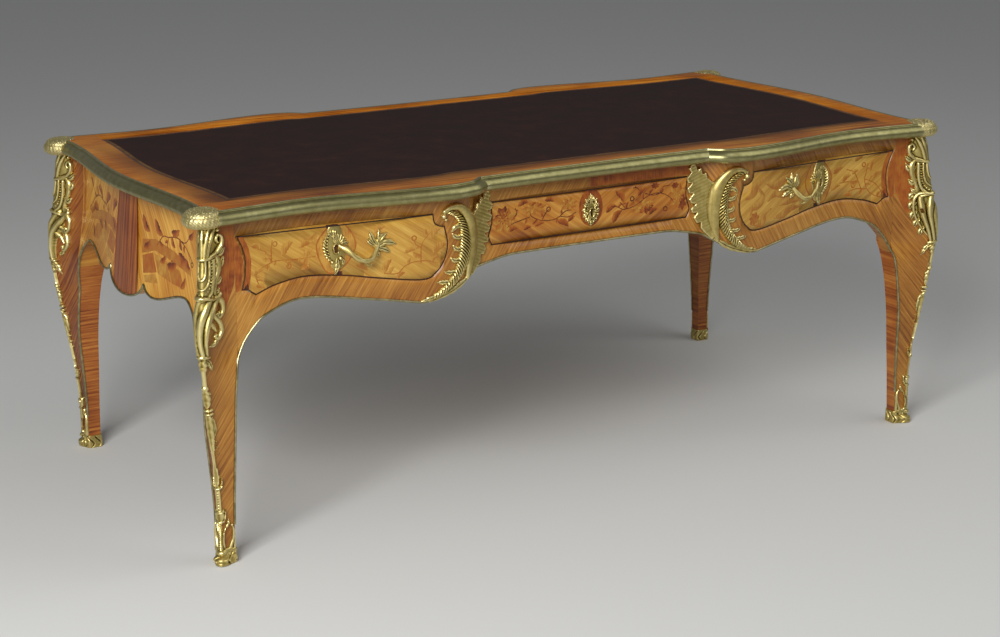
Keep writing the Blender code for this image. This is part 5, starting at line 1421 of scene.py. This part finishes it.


# Marquetry
# Sawn veneers of several woods let into the drawer fronts and the ends: stems, ring flowers and scorched
# leaves, brown reserves behind the keyhole plates, red strips and dark patches at the edges, and a dark
# patch behind each keyhole that is painted shade.
def inlay(name, codes):
    """Scorched inlay: the tone attribute picks the wood and its shading, and short fibres break it up."""
    material = bpy.data.materials.new(name)
    material.use_nodes = True
    tree = material.node_tree
    shader = tree.nodes["Principled BSDF"]
    place = node(tree, "ShaderNodeTexCoord").outputs["Object"]
    lay = node(tree, "ShaderNodeMapping", {"Vector": place, "Rotation": (0.0, 0.6, 0.0),
                                           "Scale": (500.0, 500.0, 40.0)})
    fibre = node(tree, "ShaderNodeTexNoise", {"Vector": lay.outputs[0], "Scale": 1.0, "Detail": 3.0})
    cloud = node(tree, "ShaderNodeTexNoise", {"Vector": place, "Scale": 45.0, "Detail": 2.0})
    tone = node(tree, "ShaderNodeAttribute", attribute_name="tone").outputs["Fac"]
    level = node(tree, "ShaderNodeMath", {0: tone, 1: 0.5, 2: -0.15}, operation="MULTIPLY_ADD")
    level = node(tree, "ShaderNodeMath", {0: cloud.outputs["Fac"], 1: 0.7, 2: level.outputs[0]},
                 operation="MULTIPLY_ADD")
    level = node(tree, "ShaderNodeMath", {0: fibre.outputs["Fac"], 1: 0.6, 2: level.outputs[0]},
                 operation="MULTIPLY_ADD", use_clamp=True)
    tree.links.new(shades(tree, level.outputs[0], codes), shader.inputs["Base Color"])
    gloss = node(tree, "ShaderNodeMapRange", {"Value": fibre.outputs["Fac"], "To Min": 0.26, "To Max": 0.42})
    tree.links.new(gloss.outputs["Result"], shader.inputs["Roughness"])
    shader.inputs["Specular IOR Level"].default_value = 0.36
    shader.inputs["Coat Weight"].default_value = 0.10
    shader.inputs["Coat Roughness"].default_value = 0.14
    return material


INLAY = inlay("scorched_inlay", ("#2c1509", "#743410", "#9c5418", "#a06a24", "#b88a3a"))
DARK, RED, ORANGE = (-1.0, -0.85), (-0.62, -0.35), (-0.2, 0.05)


def oval(u, v, wide, tall):
    """Closed outline of an oval."""
    turn = np.linspace(0, 2 * math.pi, 33)
    return np.stack([u + wide * np.cos(turn), v + tall * np.sin(turn)], -1)


def sprig(form, stems, rings, leaves, dye):
    """Stems, ring flowers and leaves of one dye."""
    leaves = list(leaves)
    for line in stems:
        for start, end in zip(line[::2], line[1::2]):
            along = np.subtract(end, start)
            leaves.append((*(0.4 * along + start), *(0.55 * np.array([-along[1], along[0]]) + 0.35 * along)))
    form.dye = (dye[0], dye[0])
    for line in stems:
        form.bar(line, [1.3, 1.0], [0.05])
    for u, v in rings:
        form.bar(oval(u, v, 5, 5), [1.3], [0.05])
    form.dye = dye
    for u, v, du, dv in leaves:
        bent = (u + 0.5 * du - 0.16 * dv, v + 0.5 * dv + 0.16 * du)
        form.leaf([(u, v), bent, (u + du, v + dv)], 0.26 * math.hypot(du, dv), 0.06, 3, 0.25)


def bloom(form, u, v, wide, tall, dye):
    """Full flower of overlapping petals."""
    form.dye = dye
    for turn in np.radians(np.arange(20, 380, 51.4)):
        form.leaf([(u, v), (u + wide * math.cos(turn), v + tall * math.sin(turn))], 0.42 * min(wide, tall),
                  0.05, 2, 0.3)


def side_fittings(form, side):
    """What both outer drawers have: the reserve behind the plate, the red strip and the dark patches, the
    one behind the keyhole being painted shade.
    """
    form.dye = (0.55, 1.0)
    reserve = spline([(660, 717), (690, 672), (668, 613), (630, 622), (603, 668), (628, 715), (660, 717)], 6)
    form.plate(reserve * (side, 1), 0.02)
    form.dye = (-0.1, 0.3)
    form.bar(reserve * (side, 1), [1.8], [0.03])
    form.dye = ORANGE
    strip = [(876, 718), (862, 690), (857, 662), (859, 628), (866, 602), (851, 602), (845, 628), (843, 662),
             (848, 690),
             (861, 718)]
    form.plate(np.array(strip, float) * (side, 1), 0.03)
    # The last dark patch, behind the keyhole, is painted shade: a dark sheet where the keyhole opens into
    # the drawer.
    form.dye = DARK
    for patch in (((640, 719), (669, 719), (667, 708), (642, 708)),
                  ((634, 612), (647, 612), (645, 597), (633, 597)),
                  ((851, 618), (867, 600), (862, 592), (850, 594)),
                  ((405, 716), (424, 716), (420, 706), (408, 704)),
                  ((643, 675), (653, 675), (653, 653), (643, 653))):
        form.plate(np.array(patch, float) * (side, 1), 0.04)


def left_panel(form):
    """Drawing of the left drawer."""
    side_fittings(form, -1)
    sprig(form, [
        [(-694, 651), (-740, 650), (-779, 653), (-795, 652)], [(-795, 652), (-795, 680), (-792, 698)],
        [(-795, 652), (-808, 675), (-827, 684)], [(-795, 651), (-817, 643), (-833, 628), (-826, 604)],
        [(-740, 650), (-722, 638), (-713, 631)], [(-762, 652), (-755, 637)],
        [(-539, 596), (-510, 593), (-492, 608), (-470, 615), (-440, 614), (-413, 606), (-398, 615)],
        [(-455, 646), (-467, 654), (-472, 664)], [(-455, 612), (-455, 646), (-448, 663), (-430, 683)]],
        [(-786, 690), (-755, 637), (-713, 631), (-472, 669)],
        [(-841, 694, 24, -12), (-769, 664, 25, 25), (-728, 676, 28, 6), (-718, 648, 19, 20),
         (-838, 631, 25, 8),
         (-832, 605, 24, -10), (-437, 666, 32, 23), (-425, 631, 33, 19), (-492, 639, 24, 4),
         (-510, 583, 18, 10),
         (-600, 621, 23, -14), (-539, 600, 16, 26), (-560, 690, 22, 12), (-690, 700, -20, -14)], (0.35, 1.0))


def centre_panel(form):
    """Drawing of the middle drawer."""
    form.dye = (-0.45, -0.2)
    form.plate(oval(1, 675, 32, 44), 0.02)
    # Painted shade: a dark sheet behind the keyhole, where it opens into the drawer.
    form.dye = DARK
    form.plate(np.array([(-5, 676), (5, 676), (5, 652), (-5, 652)], float), 0.04)
    for u, v, wide, tall in ((-228, 672, 34, 30), (-150, 690, 34, 16), (-60, 690, 26, 16),
                             (140, 662, 40, 18),
                             (236, 676, 26, 30)):
        bloom(form, u, v, wide, tall, (-0.1, 0.9))
    bloom(form, -232, 681, 21, 26, RED)
    bloom(form, 150, 655, 24, 14, RED)
    bloom(form, 250, 662, 13, 24, RED)
    bloom(form, -63, 693, 11, 9, RED)
    bloom(form, 176, 706, 12, 8, RED)
    bloom(form, 231, 700, 11, 9, RED)
    sprig(form, [
        [(-82, 664), (-100, 658), (-130, 660), (-156, 672), (-162, 684)],
        [(-130, 660), (-119, 677), (-110, 684)],
        [(-162, 672), (-182, 668), (-208, 662), (-223, 654)], [(-200, 696), (-196, 685), (-210, 670)],
        [(-82, 664), (-67, 674), (-52, 675)], [(-40, 668), (-60, 660), (-82, 664)],
        [(85, 659), (112, 662), (134, 671), (157, 684), (180, 688), (200, 684), (219, 672), (229, 659)],
        [(150, 690), (173, 684), (196, 690), (198, 701), (215, 703)], [(117, 707), (127, 706), (134, 697)],
        [(81, 676), (94, 663)], [(45, 659), (54, 669), (68, 669), (85, 661)]],
        [(-112, 684), (113, 682), (204, 648)],
        [(-191, 702, 26, 5), (-158, 698, 15, 4), (-143, 693, 17, 3), (-147, 650, 24, 4), (-86, 653, 27, -16),
         (-214, 647, 22, 4), (-177, 645, 20, 4), (-59, 650, 18, 9), (71, 703, 20, -28), (44, 659, 27, 12),
         (62, 634, 24, 24), (130, 689, 22, 15), (160, 641, 24, 10), (-120, 706, 24, -6)], (-0.8, 0.25))


def right_panel(form):
    """Drawing of the right drawer."""
    side_fittings(form, 1)
    form.dye = (0.4, 0.95)
    for line in (((425, 612), (432, 628), (453, 636), (462, 652), (449, 674)),
                 ((436, 587), (464, 589), (470, 608), (491, 619)),
                 ((504, 595), (530, 599), (556, 610), (590, 612)),
                 ((470, 685), (501, 675), (531, 688), (575, 690)),
                 ((409, 653), (429, 662), (441, 683), (470, 700)),
                 ((480, 640), (505, 655), (545, 648), (590, 660)),
                 ((520, 625), (550, 632), (592, 628))):
        form.bar(line, [3, 11, 8, 2], [0.03])
    bloom(form, 440, 600, 16, 18, (-0.1, 0.6))
    sprig(form, [
        [(802, 691), (798, 671), (794, 651), (802, 627), (821, 611), (846, 602)],
        [(794, 653), (820, 643), (838, 626), (848, 610)],
        [(800, 628), (769, 631), (748, 627)], [(718, 651), (747, 652)],
        [(783, 632), (763, 672), (738, 683)]],
        [(760, 640), (790, 690)],
        [(700, 678, 28, 12), (727, 654, 26, 14), (757, 670, 18, 7), (693, 637, 27, 9), (810, 674, 8, 22),
         (820, 655, 18, 14), (765, 702, 22, 8), (735, 620, 24, -6)], (0.15, 1.0))


def within(draw, outline):
    """The same drawing, kept inside an outline given in metres."""
    def limited(form):
        draw(form)
        field = Relief(form.u, form.v)
        field.plate(np.asarray(outline) * 1000, 1.0)
        form.inside = np.minimum(form.inside, field.inside - 0.8)

    return limited


for (side, x_sign), draw in zip(DRAWERS, (left_panel, centre_panel, right_panel)):
    outline = grown(drawer_outline(x_sign), -0.0024)
    (u0, v0), (u1, v1) = outline.min(0) * 1000, outline.max(0) * 1000
    panel = painted(casting("panel", (u0, u1, v0, v1), 1.0, within(draw, outline), on_face, 0.10), INLAY)
    fitted(mirrored(panel, f"marquetry_{side}", 1, -1), f"drawer_{side}", "marquetry")
    fitted(mirrored(panel, f"sham_marquetry_{side}", 1, 1), "carcass", "marquetry")
    bpy.data.objects.remove(panel, do_unlink=True)


def leg_patch(form):
    """Drawing of the red veneer between a chute and the frieze."""
    form.dye = (-0.3, 0.15)
    form.plate(spline([(32, 743), (82, 743), (85, 700), (89, 655), (92, 620), (80, 584), (64, 556),
                       (48, 580), (40, 620),
                       (35, 680), (32, 743)], 4), 0.03)


def frieze_patch(form):
    """Drawing of the red veneer between a leg and the drawer's line."""
    form.dye = (-0.3, 0.15)
    form.plate(np.array([(881.6, 743), (880, 718), (868, 692), (862, 662), (864.5, 632), (871, 601),
                         (881.6, 598)]), 0.03)


def rail_patch(form):
    """Drawing of the redder veneer on one half of the rail over the middle drawer."""
    form.dye = (-0.35, 0.1)
    form.plate(np.array([(1, 723), (140, 723), (288, 723), (288, 749), (140, 749), (1, 749)], float), 0.03)


patch = painted(casting("patch", (28, 96, 552, 746), 2.6, leg_patch, on_leg, 0.10), INLAY)
at_corners(patch, "leg_patch", "marquetry")
patch = painted(casting("patch", (856, 883, 594, 746), 1.8, frieze_patch, on_face, 0.10), INLAY)
at_corners(patch, "frieze_patch", "marquetry")
patch = painted(casting("patch", (0, 290, 721, 751), 2.6, rail_patch, on_face, 0.10), INLAY)
fitted(mirrored(patch, "rail_patch", 1, -1), "carcass", "marquetry")
bpy.data.objects.remove(patch, do_unlink=True)


def on_end(u, v, out):
    """Place on an end, in millimetres along Y and up, facing +X."""
    y, z = u / 1000, v / 1000
    step = 0.004
    slope_y = (end_face(y + step, z) - end_face(y - step, z)) / (2 * step)
    slope_z = (end_face(y, z + step) - end_face(y, z - step)) / (2 * step)
    long = np.sqrt(1 + slope_y ** 2 + slope_z ** 2)
    return end_face(y, z) + out / long, y - out * slope_y / long, z - out * slope_z / long


def end_panel(form):
    """Drawing of one end: orange and tan blocks below, red strips beside the legs, and a leafy stem in each
    field."""
    for side in (-1, 1):
        for tone, block in (
                (0.3, ((84, 648), (150, 660), (240, 650), (322, 630), (330, 612), (236, 626), (150, 634),
                       (84, 616))),
                (0.1, ((88, 612), (140, 628), (164, 588), (100, 574))),
                (0.6, ((146, 627), (206, 622), (234, 580), (170, 587))),
                (0.2, ((212, 621), (272, 612), (302, 578), (240, 579))),
                (0.8, ((104, 570), (160, 583), (176, 566), (112, 556)))):
            form.dye = (tone, tone)
            form.plate(np.array(block, float) * (side, 1), 0.02)
        form.dye = ORANGE
        form.plate(np.array([(372, 738), (388, 738), (388, 560), (372, 580)], float) * (side, 1), 0.03)
        sprig(form, [[(side * u, v) for u, v in line] for line in (
            ((160, 649), (185, 672), (211, 675), (252, 682), (279, 675), (301, 665), (336, 639)),
            ((252, 682), (289, 677), (310, 690)), ((211, 674), (207, 651)))],
            [(side * 330, 638), (side * 233, 622)],
            [(side * u, v, side * du, dv) for u, v, du, dv in (
                (87, 700, 34, -29), (150, 701, 35, -27), (229, 689, 36, 12), (310, 693, 24, 17),
                (96, 632, 31, 23),
                (179, 615, 24, 20), (214, 614, 42, 12), (265, 648, 46, -9), (284, 578, 16, 26),
                (300, 640, 24, -16))],
            (-0.75, 0.2))


field_y = np.linspace(-0.389, 0.389, 120)
end_field = np.vstack([np.stack([field_y, end_apron_edge(field_y) + 0.003], -1),
                       [(0.389, 0.743), (-0.389, 0.743)]])
end_inlay = painted(casting("end_inlay", (-390, 390, 540, 742), 1.3, within(end_panel, end_field), on_end,
                            0.10), INLAY)
for side, x_sign in (("left", -1), ("right", 1)):
    fitted(mirrored(end_inlay, f"end_marquetry_{side}", x_sign, 1), "carcass", "marquetry")
bpy.data.objects.remove(end_inlay, do_unlink=True)


# Drawer boxes, runners and locks
# Plain oak boards left unpolished, whose grain runs back to front or, in the bottoms, from side to side, and
# locks of filed steel let into the drawer fronts.
def bare(name, codes, scale, rough, metal=0.0):
    """Unpolished stuff with a fine directional grain: open oak pores, or the file's scratches on steel."""
    material = bpy.data.materials.new(name)
    material.use_nodes = True
    tree = material.node_tree
    shader = tree.nodes["Principled BSDF"]
    place = node(tree, "ShaderNodeTexCoord").outputs["Object"]
    lay = node(tree, "ShaderNodeMapping", {"Vector": place, "Scale": scale})
    grain = node(tree, "ShaderNodeTexNoise", {"Vector": lay.outputs[0], "Scale": 1.0, "Detail": 5.0,
                                              "Roughness": 0.6})
    cloud = node(tree, "ShaderNodeTexNoise", {"Vector": place, "Scale": 7.0, "Detail": 2.0})
    level = node(tree, "ShaderNodeMath", {0: cloud.outputs["Fac"], 1: 0.8, 2: -0.8},
                 operation="MULTIPLY_ADD")
    level = node(tree, "ShaderNodeMath", {0: grain.outputs["Fac"], 1: 1.8, 2: level.outputs[0]},
                 operation="MULTIPLY_ADD", use_clamp=True)
    tree.links.new(shades(tree, level.outputs[0], codes), shader.inputs["Base Color"])
    gloss = node(tree, "ShaderNodeMapRange", {"Value": grain.outputs["Fac"], "To Min": rough - 0.08,
                                              "To Max": rough + 0.08})
    tree.links.new(gloss.outputs["Result"], shader.inputs["Roughness"])
    bump = node(tree, "ShaderNodeBump", {"Height": grain.outputs["Fac"], "Strength": 0.15,
                                         "Distance": 0.0004})
    tree.links.new(bump.outputs["Normal"], shader.inputs["Normal"])
    shader.inputs["Metallic"].default_value = metal
    return material


OAK_CODES = ("#5c4326", "#7f6139", "#967748", "#a98b5b")
OAK = bare("bare_oak", OAK_CODES, (260.0, 6.0, 260.0), 0.62)
OAK_ACROSS = bare("bare_oak_across", OAK_CODES, (6.0, 180.0, 260.0), 0.62)
STEEL = bare("filed_steel", ("#6a6864", "#8d8b86", "#aaa8a2"), (60.0, 900.0, 900.0), 0.36, 1.0)
for name, item in frame["nodes"].items():
    if name.startswith("lock_"):
        painted(item, STEEL)
    elif name.startswith("drawer_bottom"):
        painted(item, OAK_ACROSS)
    elif name.startswith(("drawer_box", "partition", "runner")):
        painted(item, OAK)


# Floor, light and camera
# A plain pale studio: one large soft lamp from the upper left, a weaker one overhead, and a pale room.
bpy.ops.object.select_all(action="DESELECT")
bpy.ops.mesh.primitive_plane_add(size=40)
floor = bpy.context.object
floor.name = "studio_floor"
FLOOR_PAINT = bpy.data.materials.new("matt_floor_paint")
FLOOR_PAINT.use_nodes = True
floor_shader = FLOOR_PAINT.node_tree.nodes["Principled BSDF"]
floor_shader.inputs["Base Color"].default_value = colour("#cfcfcc")
floor_shader.inputs["Roughness"].default_value = 0.8
painted(floor, FLOOR_PAINT)

world = bpy.data.worlds.new("studio")
world.use_nodes = True
world.node_tree.nodes["Background"].inputs["Color"].default_value = colour("#d6d8da")
world.node_tree.nodes["Background"].inputs["Strength"].default_value = 0.29
bpy.context.scene.world = world


def lamp(name, place, target, size, power):
    """Square soft lamp that faces a target."""
    bpy.ops.object.light_add(type="AREA", location=place)
    light = bpy.context.object
    light.name = name
    light.data.shape = "SQUARE"
    light.data.size = size
    light.data.energy = power
    away = np.subtract(place, target)
    spin = math.atan2(away[0], -away[1])
    light.rotation_euler = (math.atan2(math.hypot(away[0], away[1]), away[2]), 0.0, spin)


lamp("key_lamp", (-3.6, -3.3, 3.1), (0.0, 0.0, 0.5), 2.4, 278)
lamp("fill_lamp", (1.9, -1.7, 3.2), (0.2, 0.0, 0.6), 3.0, 36)

bpy.ops.object.camera_add()
camera = bpy.context.object
yaw, pitch, roll = np.radians((29.25, -15.733, -0.564))
forward = np.array([math.sin(yaw) * math.cos(pitch), math.cos(yaw) * math.cos(pitch), math.sin(pitch)])
level = np.array([math.cos(yaw), -math.sin(yaw), 0.0])
upward = np.cross(level, forward)
right = math.cos(roll) * level + math.sin(roll) * upward
upward = math.cos(roll) * upward - math.sin(roll) * level
camera.matrix_world = Matrix([
    (right[0], upward[0], -forward[0], -2.4607), (right[1], upward[1], -forward[1], -4.4059),
    (right[2], upward[2], -forward[2], 1.7254), (0, 0, 0, 1)])
camera.data.sensor_width = 36.0
camera.data.sensor_fit = "HORIZONTAL"
camera.data.lens = 74.93
bpy.context.scene.camera = camera
bpy.context.scene.view_settings.view_transform = "Standard"
